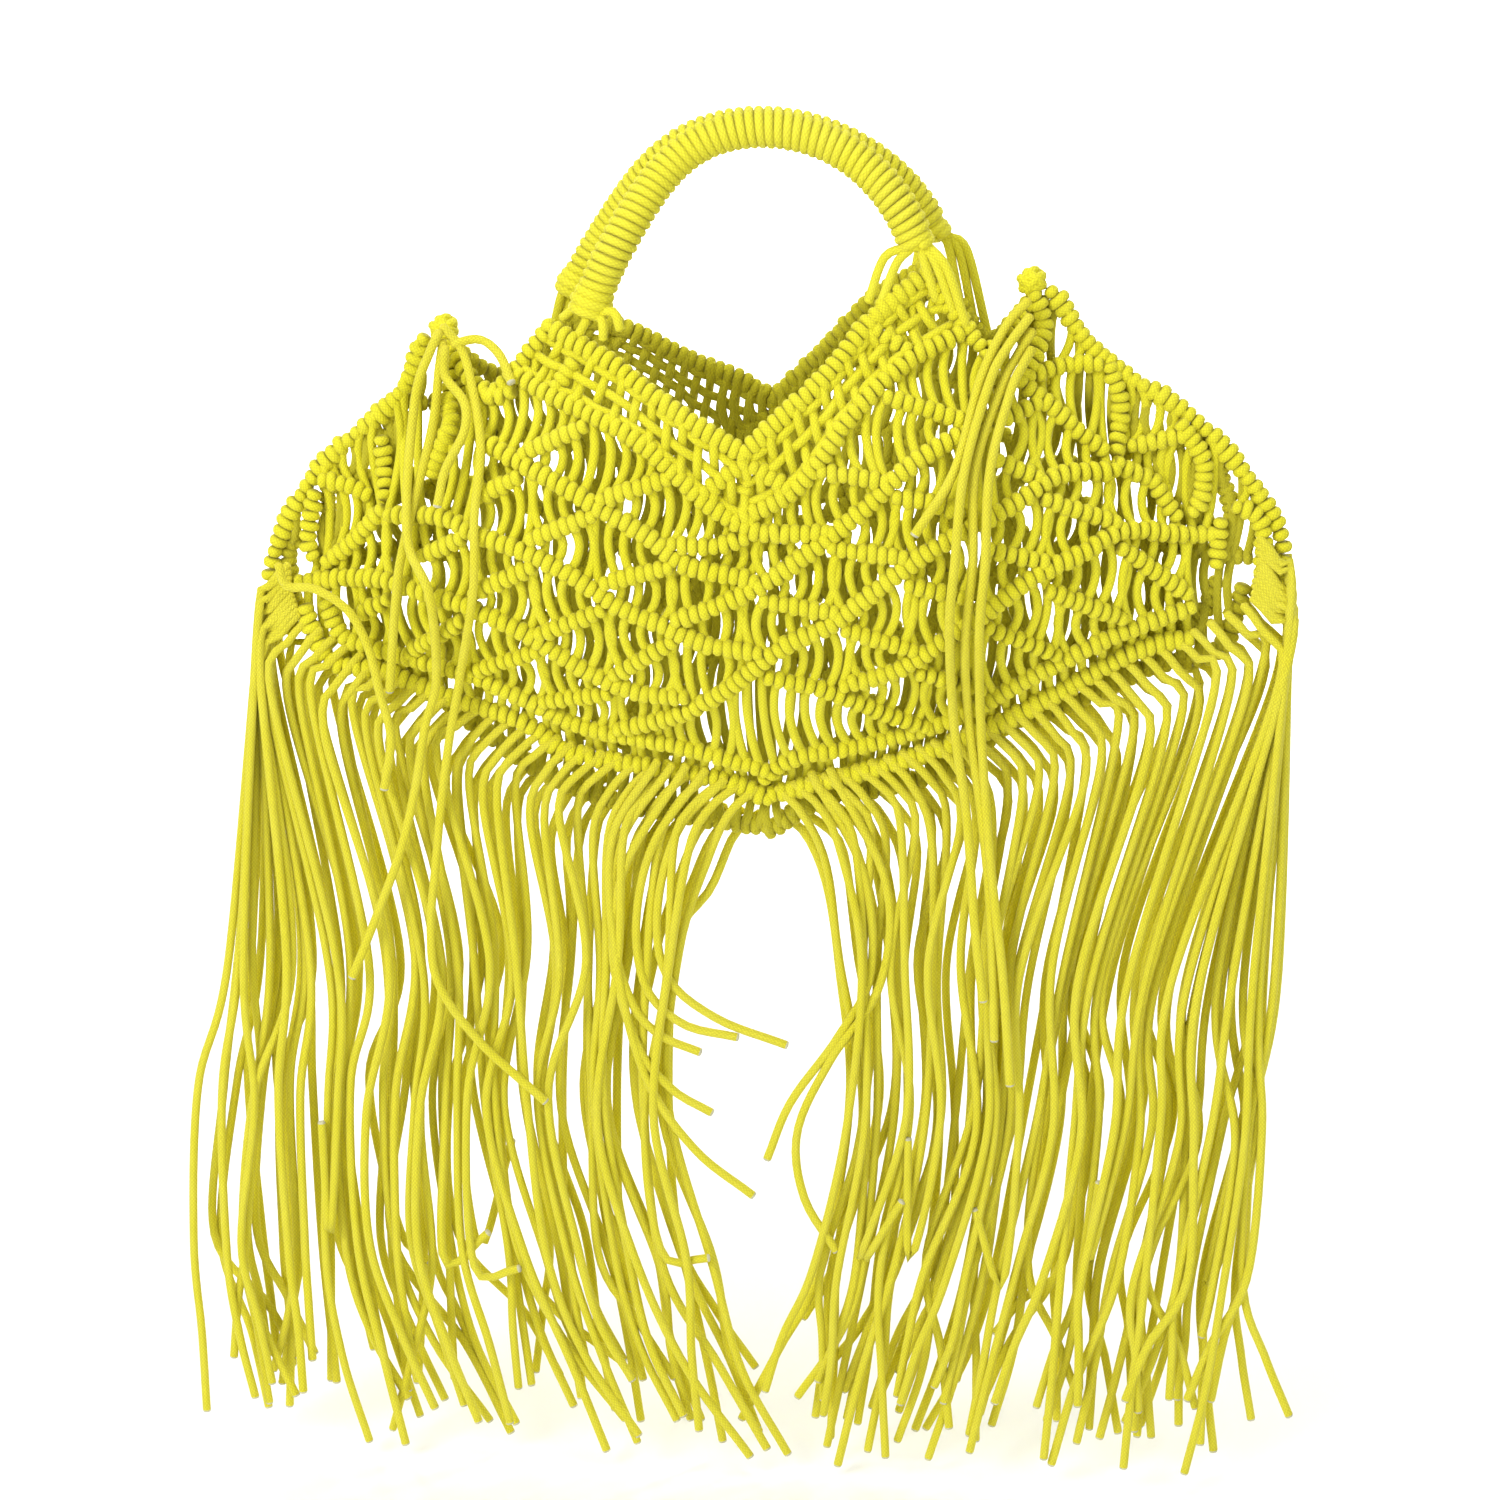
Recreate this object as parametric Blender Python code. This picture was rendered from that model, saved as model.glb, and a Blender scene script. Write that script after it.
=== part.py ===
"""Fishnet tote bag: two pierced net panels, wrapped arch handles, shoulder tails and a long fringe.

The origin is the underside of the handles where the bag hangs. The front faces -Y, +Z is up.
"""
import math

import bmesh
import bpy

# Driving sizes, in metres
bag_half_width = 0.206        # middle of the bag to a side corner
bag_height = 0.276              # hanging point down to the tip of the hem
bag_depth = 0.082             # front net to back net where the bag is fullest
hem_fill = 0.095              # height above the hem over which the bag opens to that depth
seam_fill = 0.085             # distance from a side seam over which it opens to that depth
seam_flat = 0.003             # flat strip beside a side seam
neck_draw = 0.45              # share of the depth that the handles draw in at the neck
neck_draw_height = 0.075      # height over which they draw it in
net_wall = 0.005              # thickness of the knotted net
net_bar = 0.0074              # solid bar between two gaps of the net
rib_width = 0.0076            # rib of knots at neck and hem
seam_width = 0.008            # column of square knots at a side
handle_width = 0.016          # wrapped handle
front_handle_radius = 0.0655  # arch of the front handle, to the middle of the tube
back_handle_radius = 0.077
front_handle_centre = 0.002   # middle of the front arch, to the right of the middle of the bag
back_handle_centre = 0.0
tie_end = 0.012               # length of a tie's foot along the neck rim
tie_swell = 1.12              # how far a tie's knot stands out, as a multiple of a straight taper
knot_width = 0.015            # knot at a shoulder peak
tab_width = 0.009             # net tab under that knot
back_neck_lift = 0.007        # back neck above the front neck
back_hem_drop = 0.014         # back hem below the front hem
head_width = 0.012            # strip of knots that a fringe hangs from
lock_thickness = 0.0115       # lock of the fringe, front to back
lock_spacing = 0.003          # space between neighbouring locks
tail_width = 0.009            # lock of shoulder tails
tail_head_width = 0.011
tail_clearance = 0.0015       # tails in front of the net, whose facets bow
piece_gap = 0.0003            # clearance between neighbouring pieces
upright_share = 0.15          # lower share of an arch's rise that stands upright before it leans in

# Counts
half_columns = 6              # net gaps from the middle of a panel to its side
pierced_rows = 5              # rows of gaps, from the neck down
locks_per_fringe = 7
handle_steps = 22

# Ribs of the net, top to bottom. Every x is a share of bag_half_width and every drop a share of bag_height.
# Columns: left end x, drop, left middle x, drop, centre x, drop, right middle x, drop, right end x, drop
net_ribs = (
    (-0.408, 0.275, -0.209, 0.355, 0.000, 0.442, 0.165, 0.319, 0.335, 0.196),
    (-0.461, 0.326, -0.228, 0.404, 0.000, 0.533, 0.184, 0.377, 0.393, 0.254),
    (-0.549, 0.373, -0.277, 0.516, 0.000, 0.620, 0.277, 0.467, 0.447, 0.283),
    (-0.718, 0.388, -0.369, 0.605, 0.000, 0.739, 0.340, 0.569, 0.660, 0.312),
    (-0.883, 0.500, -0.451, 0.714, 0.010, 0.848, 0.447, 0.670, 0.864, 0.413),
    (-0.981, 0.638, -0.485, 0.833, 0.019, 0.928, 0.495, 0.804, 1.015, 0.565),
    (-0.951, 0.710, -0.500, 0.873, 0.019, 0.964, 0.500, 0.837, 0.990, 0.652),
)
tab_row = 2                   # the shoulder tab stands between this rib and the next
last_row = len(net_ribs) - 1

# Shoulder peaks, where the tab ends. Columns: x share of bag_half_width, drop share of bag_height
left_peak = (-0.634, 0.296)
right_peak = (0.534, 0.214)

# Levels of the fringe. Columns: drop share of bag_height, then the innermost and outermost lock on the left
# and the same on the right as shares of bag_half_width
fringe_levels = (
    (1.250, -0.223, -1.068, 0.223, 1.034),
    (1.486, -0.262, -1.131, 0.252, 1.010),
    (1.739, -0.160, -1.150, 0.165, 0.937),
)
# Lower ends. Columns: end x of the innermost and outermost lock on the left and on the right
fringe_ends = (-0.030, -1.165, 0.097, 0.966)
fringe_start = (0.075, 0.925)          # first and last lock along the hem, as shares of its half length
# End of each lock from the middle outwards. Columns: front left, front right, back left, back right drop share
lock_ends = (
    (1.975, 1.985, 1.930, 1.950),
    (2.020, 1.990, 1.985, 1.925),
    (2.075, 2.050, 1.960, 1.990),
    (1.990, 2.045, 2.010, 1.965),
    (1.965, 2.000, 1.975, 2.030),
    (2.035, 2.030, 2.000, 1.980),
    (2.060, 2.080, 1.955, 2.040),
)
lock_root = 0.72              # width of a lock's upper end, as a share of its width at the first level
lock_tip = 0.55               # width of its lower end, as a share of its width at the last level

# Routes of the shoulder tails from the knot down. Columns: x share of bag_half_width, drop share of bag_height
left_tails = (
    ((-0.582, 0.310), (-0.552, 0.361), (-0.531, 0.429), (-0.543, 0.529), (-0.555, 0.643), (-0.609, 0.797),
     (-0.632, 0.893), (-0.650, 0.990), (-0.677, 1.201), (-0.663, 1.290), (-0.581, 1.378), (-0.446, 1.473)),
    ((-0.660, 0.325), (-0.690, 0.390), (-0.700, 0.469), (-0.700, 0.559), (-0.670, 0.651), (-0.700, 0.797),
     (-0.735, 0.900), (-0.760, 0.990), (-0.775, 1.073), (-0.800, 1.179), (-0.842, 1.278)),
)
right_tails = (
    ((0.500, 0.245), (0.468, 0.319), (0.425, 0.379), (0.375, 0.463), (0.323, 0.534)),
    ((0.530, 0.250), (0.505, 0.319), (0.472, 0.400), (0.440, 0.576), (0.430, 0.674), (0.435, 0.843),
     (0.460, 1.061), (0.480, 1.219), (0.505, 1.412)),
)

# Derived sizes
rib_radius = rib_width / 2
seam_radius = seam_width / 2
handle_radius = handle_width / 2
knot_radius = knot_width / 2
head_radius = head_width / 2
half_gap = piece_gap / 2
arch_top = handle_radius              # middle of the tube where the bag hangs, so its underside is at the origin
front_side = -1
back_side = 1


def clear_objects():
    for thing in list(bpy.data.objects):
        bpy.data.objects.remove(thing, do_unlink=True)
    for group in list(bpy.data.collections):
        bpy.data.collections.remove(group)


def cord_material(name, colour):
    material = bpy.data.materials.new(name)
    material.use_nodes = True
    shader = material.node_tree.nodes["Principled BSDF"]
    shader.inputs["Base Color"].default_value = (*colour, 1.0)
    shader.inputs["Roughness"].default_value = 0.85
    return material


def keep(mesh, name, material, collection, smooth=True):
    thing = bpy.data.objects.new(name, mesh)
    collection.objects.link(thing)
    mesh.name = name
    mesh.materials.clear()
    mesh.materials.append(material)
    for face in mesh.polygons:
        face.use_smooth = smooth
    return thing


def three_point(first, middle, last, share):
    """Curve through three points, at share 0, a half and 1."""
    weights = ((1 - share) * (1 - 2 * share), 4 * share * (1 - share), share * (2 * share - 1))
    return tuple(sum(w * p[axis] for w, p in zip(weights, (first, middle, last))) for axis in (0, 1))


def rib_point(row, across, side=front_side):
    """Point x, z of a rib. Across runs from -1 at the left end to 1 at the right end."""
    values = net_ribs[row]
    centre = values[4:6]
    if across < 0:
        x, drop = three_point(centre, values[2:4], values[0:2], -across)
    else:
        x, drop = three_point(centre, values[6:8], values[8:10], across)
    z = -drop * bag_height
    if side == back_side:
        middle_share = 1 - across * across
        z += back_neck_lift * middle_share * max(0.0, 1 - row / tab_row)
        z -= back_hem_drop * middle_share * max(0.0, (row - tab_row) / (last_row - tab_row)) ** 2
    return x * bag_half_width, z


def row_points(row, side):
    count = 2 * half_columns
    return [rib_point(row, -1 + 2 * step / count, side) for step in range(count + 1)]


def height_on(points, x):
    """Height of a polyline that runs from left to right, at x."""
    if x <= points[0][0]:
        return points[0][1]
    for (x0, z0), (x1, z1) in zip(points, points[1:]):
        if x <= x1:
            return z0 + (z1 - z0) * (x - x0) / (x1 - x0)
    return points[-1][1]


def rise(share):
    share = min(max(share, 0.0), 1.0)
    return 1 - (1 - share) ** 2


def smooth_step(share):
    share = min(max(share, 0.0), 1.0)
    return share * share * (3 - 2 * share)


def peak_point(peak):
    return peak[0] * bag_half_width, -peak[1] * bag_height


def seam_distance(x, z):
    """Distance inside the straight line from each side corner to its shoulder peak."""
    nearest = None
    for across, peak in ((-1, left_peak), (1, right_peak)):
        x0, z0 = rib_point(last_row, across)
        x1, z1 = peak_point(peak)
        length = math.hypot(x1 - x0, z1 - z0)
        inside = across * ((x1 - x0) * (z - z0) - (z1 - z0) * (x - x0)) / length
        nearest = inside if nearest is None else min(nearest, inside)
    return nearest


hem_lines = {side: row_points(last_row, side) for side in (front_side, back_side)}


def half_depth(x, z, side=front_side):
    """Distance from the middle plane of the bag to the inside of a net panel."""
    height = z - height_on(hem_lines[side], x)
    neck_bottom = rib_point(0, 0)[1]
    drawn = 1 - neck_draw * smooth_step((z - neck_bottom) / neck_draw_height)
    beside_seam = rise((seam_distance(x, z) - seam_flat) / seam_fill)
    return bag_depth / 2 * rise(height / hem_fill) * beside_seam * drawn


def offset_path(points, distance):
    """Polyline moved sideways by distance, to the left of its direction, with mitred corners."""
    moved = []
    for index, (x, z) in enumerate(points):
        normals = []
        for first, last in ((index - 1, index), (index, index + 1)):
            if first >= 0 and last < len(points):
                dx = points[last][0] - points[first][0]
                dz = points[last][1] - points[first][1]
                length = math.hypot(dx, dz)
                normals.append((-dz / length, dx / length))
        nx = sum(n[0] for n in normals)
        nz = sum(n[1] for n in normals)
        length = math.hypot(nx, nz)
        nx, nz = nx / length, nz / length
        mitre = distance / (nx * normals[0][0] + nz * normals[0][1])
        moved.append((x + nx * mitre, z + nz * mitre))
    return moved


def tube_mesh(name, points, radius, shares=None, flatness=1.0):
    """Round tube along points, or one pressed flat in Y, with filled ends."""
    curve = bpy.data.curves.new(name, "CURVE")
    curve.dimensions = "3D"
    curve.bevel_depth = radius
    curve.bevel_resolution = 2
    curve.use_fill_caps = True
    spline = curve.splines.new("POLY")
    spline.points.add(len(points) - 1)
    for index, (x, y, z) in enumerate(points):
        spline.points[index].co = (x, y / flatness, z, 1.0)
        spline.points[index].radius = shares[index] if shares else 1.0
    thing = bpy.data.objects.new(name, curve)
    bpy.context.scene.collection.objects.link(thing)
    graph = bpy.context.evaluated_depsgraph_get()
    mesh = bpy.data.meshes.new_from_object(thing.evaluated_get(graph))
    mesh.transform(thing.matrix_world)
    bpy.data.objects.remove(thing, do_unlink=True)
    bpy.data.curves.remove(curve)
    work = bmesh.new()
    work.from_mesh(mesh)
    for vert in work.verts:
        vert.co.y *= flatness
    bmesh.ops.remove_doubles(work, verts=work.verts, dist=0.00001)
    bmesh.ops.recalc_face_normals(work, faces=work.faces)
    work.to_mesh(mesh)
    work.free()
    return mesh


def net_panel(name, side, material, collection):
    """Net in the flat with its gaps cut, then given its wall and the fullness of the bag."""
    columns = 2 * half_columns
    work = bmesh.new()
    bmesh.ops.create_grid(work, x_segments=columns, y_segments=last_row, size=1.0)
    rows_of = {}
    for vert in work.verts:
        row = round((1 - vert.co.y) / 2 * last_row)
        column = round((vert.co.x + 1) / 2 * columns)
        rows_of[vert] = (row, column)
    for vert, (row, column) in rows_of.items():
        x, z = rib_point(row, -1 + 2 * column / columns, side)
        vert.co = (x, 0.0, z)
    grid_faces = [face for face in work.faces if min(rows_of[v][0] for v in face.verts) < pierced_rows]
    for column, peak in ((0, left_peak), (columns, right_peak)):
        add_tab(work, rows_of, column, peak)
    work.normal_update()
    bmesh.ops.inset_individual(work, faces=grid_faces, thickness=net_bar / 2, use_even_offset=True)
    bmesh.ops.delete(work, geom=grid_faces, context="FACES")
    sheet_faces = list(work.faces)
    inner = list(work.verts)
    grown = bmesh.ops.extrude_face_region(work, geom=sheet_faces)
    outer = [item for item in grown["geom"] if isinstance(item, bmesh.types.BMVert)]
    for vert in inner:
        vert.co.y = side * (half_gap + half_depth(vert.co.x, vert.co.z, side))
    for vert in outer:
        vert.co.y = side * (half_gap + half_depth(vert.co.x, vert.co.z, side) + net_wall)
    bmesh.ops.recalc_face_normals(work, faces=work.faces)
    mesh = bpy.data.meshes.new(name)
    work.to_mesh(mesh)
    work.free()
    return keep(mesh, name, material, collection, smooth=False)


def add_tab(work, rows_of, column, peak):
    """Tab of net between the side ends of two ribs, up to the shoulder knot."""
    ends = {rows_of[v][0]: v for v in rows_of if rows_of[v][1] == column}
    top, bottom = ends[tab_row], ends[tab_row + 1]
    edge = next(e for e in top.link_edges if bottom in e.verts)
    grown = bmesh.ops.extrude_edge_only(work, edges=[edge])
    new_verts = [item for item in grown["geom"] if isinstance(item, bmesh.types.BMVert)]
    x, z = peak_point(peak)
    inward = -1 if peak[0] > 0 else 1
    for vert in new_verts:
        toward = inward if (vert.co - top.co).length < (vert.co - bottom.co).length else -inward
        vert.co = (x + toward * tab_width / 2, 0.0, z)


def neck_path(side):
    """Middle line of a neck rim, above the upper edge of its net, from left to right."""
    edge = row_points(0, side)
    line = offset_path(edge, rib_radius + piece_gap)
    depths = [side * (half_gap + half_depth(x, z, side) + net_wall / 2) for x, z in edge]
    return [(x, y, z) for (x, z), y in zip(line, depths)]


def hem_path(side):
    line = offset_path(row_points(last_row, side), -(rib_radius + piece_gap))
    y = side * (half_gap + rib_radius)
    return [(x, y, z) for x, z in line]


def seam_path(across, peak):
    """Middle line of a side seam, outside the joined edges of both nets, from the shoulder to the corner."""
    x, z = peak_point(peak)
    edge = [(x + across * tab_width / 2, z)]
    edge += [rib_point(row, across) for row in range(tab_row + 1, last_row + 1)]
    line = offset_path(edge, across * (seam_radius + piece_gap))
    last_x, last_z = line[-1]
    before_x, before_z = line[-2]
    length = math.hypot(last_x - before_x, last_z - before_z)
    trim = (length - piece_gap - rib_radius / 2) / length
    line[-1] = (before_x + (last_x - before_x) * trim, before_z + (last_z - before_z) * trim)
    return [(px, 0.0, pz) for px, pz in line]


def handle_points(side, radius, centre_x):
    """Arch from its left end over the top to its right end, leaning from the neck rims to the hanging point."""
    rim = neck_path(side)
    centre_z = arch_top - radius
    top_y = side * (handle_radius + half_gap)
    reach = handle_radius + piece_gap + rib_radius + tie_end / 2
    ends = []
    for end, sign in ((rim[0], -1), (rim[-1], 1)):
        height = end[2] + reach - centre_z
        angle = math.asin(max(-0.6, min(0.6, height / radius)))
        ends.append((angle, end[1], sign))
    (left_angle, left_y, _), (right_angle, right_y, _) = ends
    start = math.pi - left_angle
    points = []
    for step in range(handle_steps + 1):
        angle = start + (right_angle - start) * step / handle_steps
        z = centre_z + radius * math.sin(angle)
        end_y = left_y if angle > math.pi / 2 else right_y
        end_angle = left_angle if angle > math.pi / 2 else right_angle
        low = centre_z + radius * math.sin(end_angle)
        lean = smooth_step(((z - low) / (arch_top - low) - upright_share) / (1 - upright_share))
        points.append((centre_x + radius * math.cos(angle), end_y + (top_y - end_y) * lean, z))
    return points


def loft(name, rings):
    """Closed solid through rings of equal length."""
    work = bmesh.new()
    rows = [[work.verts.new(point) for point in ring] for ring in rings]
    for upper, lower in zip(rows, rows[1:]):
        for index in range(len(upper)):
            after = (index + 1) % len(upper)
            work.faces.new((upper[index], upper[after], lower[after], lower[index]))
    work.faces.new(rows[0])
    work.faces.new(list(reversed(rows[-1])))
    bmesh.ops.recalc_face_normals(work, faces=work.faces)
    mesh = bpy.data.meshes.new(name)
    work.to_mesh(mesh)
    work.free()
    return mesh


def tie_mesh(name, handle_end, handle_before, rim_end, rim_next):
    """Knot from the cap of a handle end down to the top of the neck rim."""
    sides = 10
    steps = 5
    tx = handle_end[0] - handle_before[0]
    tz = handle_end[2] - handle_before[2]
    length = math.hypot(tx, tz)
    tx, tz = tx / length, tz / length
    top = (handle_end[0] + tx * piece_gap, handle_end[1], handle_end[2] + tz * piece_gap)
    rx = rim_next[0] - rim_end[0]
    rz = rim_next[2] - rim_end[2]
    span = math.hypot(rx, rz)
    rx, rz = rx / span, rz / span
    along = (top[0] - rim_end[0]) * rx + (top[2] - rim_end[2]) * rz
    along = min(max(along, tie_end / 2), span)
    nx, nz = (-rz, rx) if rx > 0 else (rz, -rx)
    lift = rib_radius + piece_gap
    share = along / span
    foot = (rim_end[0] + rx * along + nx * lift,
            rim_end[1] + (rim_next[1] - rim_end[1]) * share,
            rim_end[2] + rz * along + nz * lift)
    across_top = (-tz, tx) if -tz * rx + tx * rz > 0 else (tz, -tx)
    rings = []
    for step in range(steps + 1):
        share = step / steps
        swell = 1 + (tie_swell - 1) * math.sin(math.pi * share)
        wide = (handle_radius + (tie_end / 2 - handle_radius) * share) * swell
        deep = (handle_radius + (rib_radius - handle_radius) * share) * swell
        ux = across_top[0] + (rx - across_top[0]) * share
        uz = across_top[1] + (rz - across_top[1]) * share
        unit = math.hypot(ux, uz)
        middle = [top[axis] + (foot[axis] - top[axis]) * share for axis in range(3)]
        ring = []
        for side in range(sides):
            turn = 2 * math.pi * side / sides
            out = wide * math.cos(turn) / unit
            ring.append((middle[0] + ux * out, middle[1] + deep * math.sin(turn), middle[2] + uz * out))
        rings.append(ring)
    return loft(name, rings)


def ball_mesh(name, centre, radius):
    work = bmesh.new()
    bmesh.ops.create_uvsphere(work, u_segments=12, v_segments=8, radius=radius)
    bmesh.ops.translate(work, verts=work.verts, vec=centre)
    mesh = bpy.data.meshes.new(name)
    work.to_mesh(mesh)
    work.free()
    return mesh


def fuse(base, others, name, material, collection):
    """Union of solids into one closed body."""
    thing = keep(base, name, material, collection)
    for index, mesh in enumerate(others):
        other = bpy.data.objects.new(f"{name}_add_{index}", mesh)
        bpy.context.scene.collection.objects.link(other)
        union = thing.modifiers.new("union", "BOOLEAN")
        union.operation = "UNION"
        union.solver = "EXACT"
        union.object = other
        graph = bpy.context.evaluated_depsgraph_get()
        result = bpy.data.meshes.new_from_object(thing.evaluated_get(graph))
        thing.modifiers.remove(union)
        thing.data = result
        bpy.data.objects.remove(other, do_unlink=True)
    thing.data.name = name
    thing.data.materials.clear()
    thing.data.materials.append(material)
    return thing


def between(first, last, share):
    return first + (last - first) * share


def knot_centre(peak):
    x, z = peak_point(peak)
    return x, 0.0, z + piece_gap + knot_radius


def fringe(name, side, half, material, collection):
    """Locks of fringe fused to the strip of knots under one half of a hem."""
    hem = [(x, z) for x, _, z in hem_path(side)]
    line = offset_path(hem, -(rib_radius + piece_gap + head_radius))
    middle = half_columns
    half_line = line[middle::-1] if half < 0 else line[middle:]
    count = len(half_line) - 1

    def on_line(share):
        spot = min(max(share, 0.0), 1.0) * count
        first = min(int(spot), count - 1)
        return tuple(between(half_line[first][axis], half_line[first + 1][axis], spot - first) for axis in (0, 1))

    head_y = side * (half_gap + head_radius)
    lock_y = side * (half_gap + lock_thickness / 2)
    head_shares = [between(fringe_start[0] / 2, 0.99, step / (count + 1)) for step in range(count + 2)]
    head = tube_mesh(name, [(x, head_y, z) for x, z in map(on_line, head_shares)], head_radius)
    side_columns = (1, 2) if half < 0 else (3, 4)
    end_columns = (0, 1) if half < 0 else (2, 3)
    end_column = (0 if half < 0 else 1) + (0 if side == front_side else 2)
    level_widths = []
    for level in fringe_levels:
        reach = abs(level[side_columns[1]] - level[side_columns[0]]) * bag_half_width
        level_widths.append(reach / (locks_per_fringe - 1) - lock_spacing)
    widest = max(level_widths)
    flatness = lock_thickness / widest
    locks = []
    for index in range(locks_per_fringe):
        spread = index / (locks_per_fringe - 1)
        x, z = on_line(between(fringe_start[0], fringe_start[1], spread))
        points = [(x, lock_y, z)]
        widths = [level_widths[0] * lock_root]
        first = fringe_levels[0]
        first_x = between(first[side_columns[0]], first[side_columns[1]], spread) * bag_half_width
        first_z = -first[0] * bag_height
        points.append((between(x, first_x, 0.62), lock_y, between(z, first_z, 0.42)))
        widths.append(between(widths[0], level_widths[0], 0.62))
        for level, width in zip(fringe_levels, level_widths):
            level_x = between(level[side_columns[0]], level[side_columns[1]], spread) * bag_half_width
            points.append((level_x, lock_y, -level[0] * bag_height))
            widths.append(width)
        end_share = lock_ends[index % len(lock_ends)][end_column]
        end_x = between(fringe_ends[end_columns[0]], fringe_ends[end_columns[1]], spread) * bag_half_width
        last_x, _, last_z = points[-1]
        end_z = -end_share * bag_height
        points.append((between(last_x, end_x, 0.7), lock_y, between(last_z, end_z, 0.7)))
        widths.append(between(level_widths[-1], level_widths[-1] * lock_tip, 0.3))
        points.append((end_x, lock_y, end_z))
        widths.append(level_widths[-1] * lock_tip)
        shares = [width / widest for width in widths]
        locks.append(tube_mesh(f"{name}_lock", points, widest / 2, shares, flatness))
    return fuse(head, locks, name, material, collection)


def tassel(name, peak, tails, material, collection):
    """Loose tails from a shoulder knot, lying in front of the front net, hem and fringe."""
    x, _, z = knot_centre(peak)
    head_half = tail_head_width / 2
    head = (x, -(knot_radius + piece_gap + head_half), z)
    tail_half = tail_width / 2
    fringe_front = half_gap + max(head_width, lock_thickness, rib_width)
    meshes = []
    for route in tails:
        points = [head]
        stops = [(share_x * bag_half_width, -share_drop * bag_height) for share_x, share_drop in route]
        for index, stop in enumerate(stops):
            before = stops[index - 1] if index else stop
            for px, pz in ((between(before[0], stop[0], 0.5), between(before[1], stop[1], 0.5)), stop)[not index:]:
                net_front = half_gap + half_depth(px, pz) + net_wall
                clear = max(net_front, fringe_front) + tail_clearance + tail_half
                points.append((px, -clear, pz))
        widths = [1.0] * (len(points) - 1) + [0.6]
        meshes.append(tube_mesh(f"{name}_tail", points, tail_half, widths))
    return fuse(ball_mesh(name, head, head_half), meshes, name, material, collection)


def build():
    clear_objects()
    collection = bpy.data.collections.new("fishnet_tote_bag")
    bpy.context.scene.collection.children.link(collection)
    net_cord = cord_material("yellow_net_cord", (0.92, 0.68, 0.02))
    wrap_cord = cord_material("yellow_wrapping_cord", (0.90, 0.64, 0.02))
    loose_cord = cord_material("yellow_loose_cord", (0.94, 0.72, 0.04))

    handles = (("front", front_side, front_handle_radius, front_handle_centre),
               ("back", back_side, back_handle_radius, back_handle_centre))
    for word, side, radius, centre_x in handles:
        net_panel(f"{word}_net", side, net_cord, collection)
        rim = neck_path(side)
        keep(tube_mesh(f"{word}_neck_rim", rim, rib_radius), f"{word}_neck_rim", net_cord, collection)
        keep(tube_mesh(f"{word}_hem", hem_path(side), rib_radius), f"{word}_hem", net_cord, collection)
        arch = handle_points(side, radius, centre_x)
        keep(tube_mesh(f"{word}_handle", arch, handle_radius), f"{word}_handle", wrap_cord, collection)
        left = tie_mesh(f"{word}_left_tie", arch[0], arch[1], rim[0], rim[1])
        keep(left, f"{word}_left_tie", wrap_cord, collection)
        right = tie_mesh(f"{word}_right_tie", arch[-1], arch[-2], rim[-1], rim[-2])
        keep(right, f"{word}_right_tie", wrap_cord, collection)
        fringe(f"{word}_left_fringe", side, -1, loose_cord, collection)
        fringe(f"{word}_right_fringe", side, 1, loose_cord, collection)

    shoulders = (("left", -1, left_peak, left_tails), ("right", 1, right_peak, right_tails))
    for word, across, peak, tails in shoulders:
        seam = tube_mesh(f"{word}_side_seam", seam_path(across, peak), seam_radius)
        keep(seam, f"{word}_side_seam", net_cord, collection)
        knot = ball_mesh(f"{word}_shoulder_knot", knot_centre(peak), knot_radius)
        keep(knot, f"{word}_shoulder_knot", net_cord, collection)
        tassel(f"{word}_shoulder_tassel", peak, tails, loose_cord, collection)


build()
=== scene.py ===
import math

import bmesh
import bpy
import mathutils
import numpy as np
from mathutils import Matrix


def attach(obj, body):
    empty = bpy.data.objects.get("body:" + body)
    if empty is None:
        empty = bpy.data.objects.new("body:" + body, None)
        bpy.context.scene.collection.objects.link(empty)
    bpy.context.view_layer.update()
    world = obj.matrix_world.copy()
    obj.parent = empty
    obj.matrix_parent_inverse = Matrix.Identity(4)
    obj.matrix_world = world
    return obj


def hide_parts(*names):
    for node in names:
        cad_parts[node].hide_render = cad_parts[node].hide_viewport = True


# Fishnet tote bag in 4 mm lemon yellow braided cotton cord, hung by its two handles.
# Metres, front towards -Y. The bag's form repeats the sizes of the frame, so the knots lie where its solids do.

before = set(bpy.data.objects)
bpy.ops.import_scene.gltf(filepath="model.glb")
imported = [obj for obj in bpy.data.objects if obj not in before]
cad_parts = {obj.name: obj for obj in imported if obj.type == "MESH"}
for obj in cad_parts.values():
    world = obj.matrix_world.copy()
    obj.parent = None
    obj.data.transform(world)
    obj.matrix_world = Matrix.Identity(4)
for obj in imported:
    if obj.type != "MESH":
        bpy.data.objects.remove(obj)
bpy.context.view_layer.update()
dice = np.random.default_rng(417)

cord = {
    "thick": 0.0038,        # loose cord
    "beadPitch": 0.0041,    # one half hitch along a rib
    "ribWidth": 0.0085,     # across a rib of half hitches
    "ribDepth": 0.0075,
    "sides": 8,
}

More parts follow.
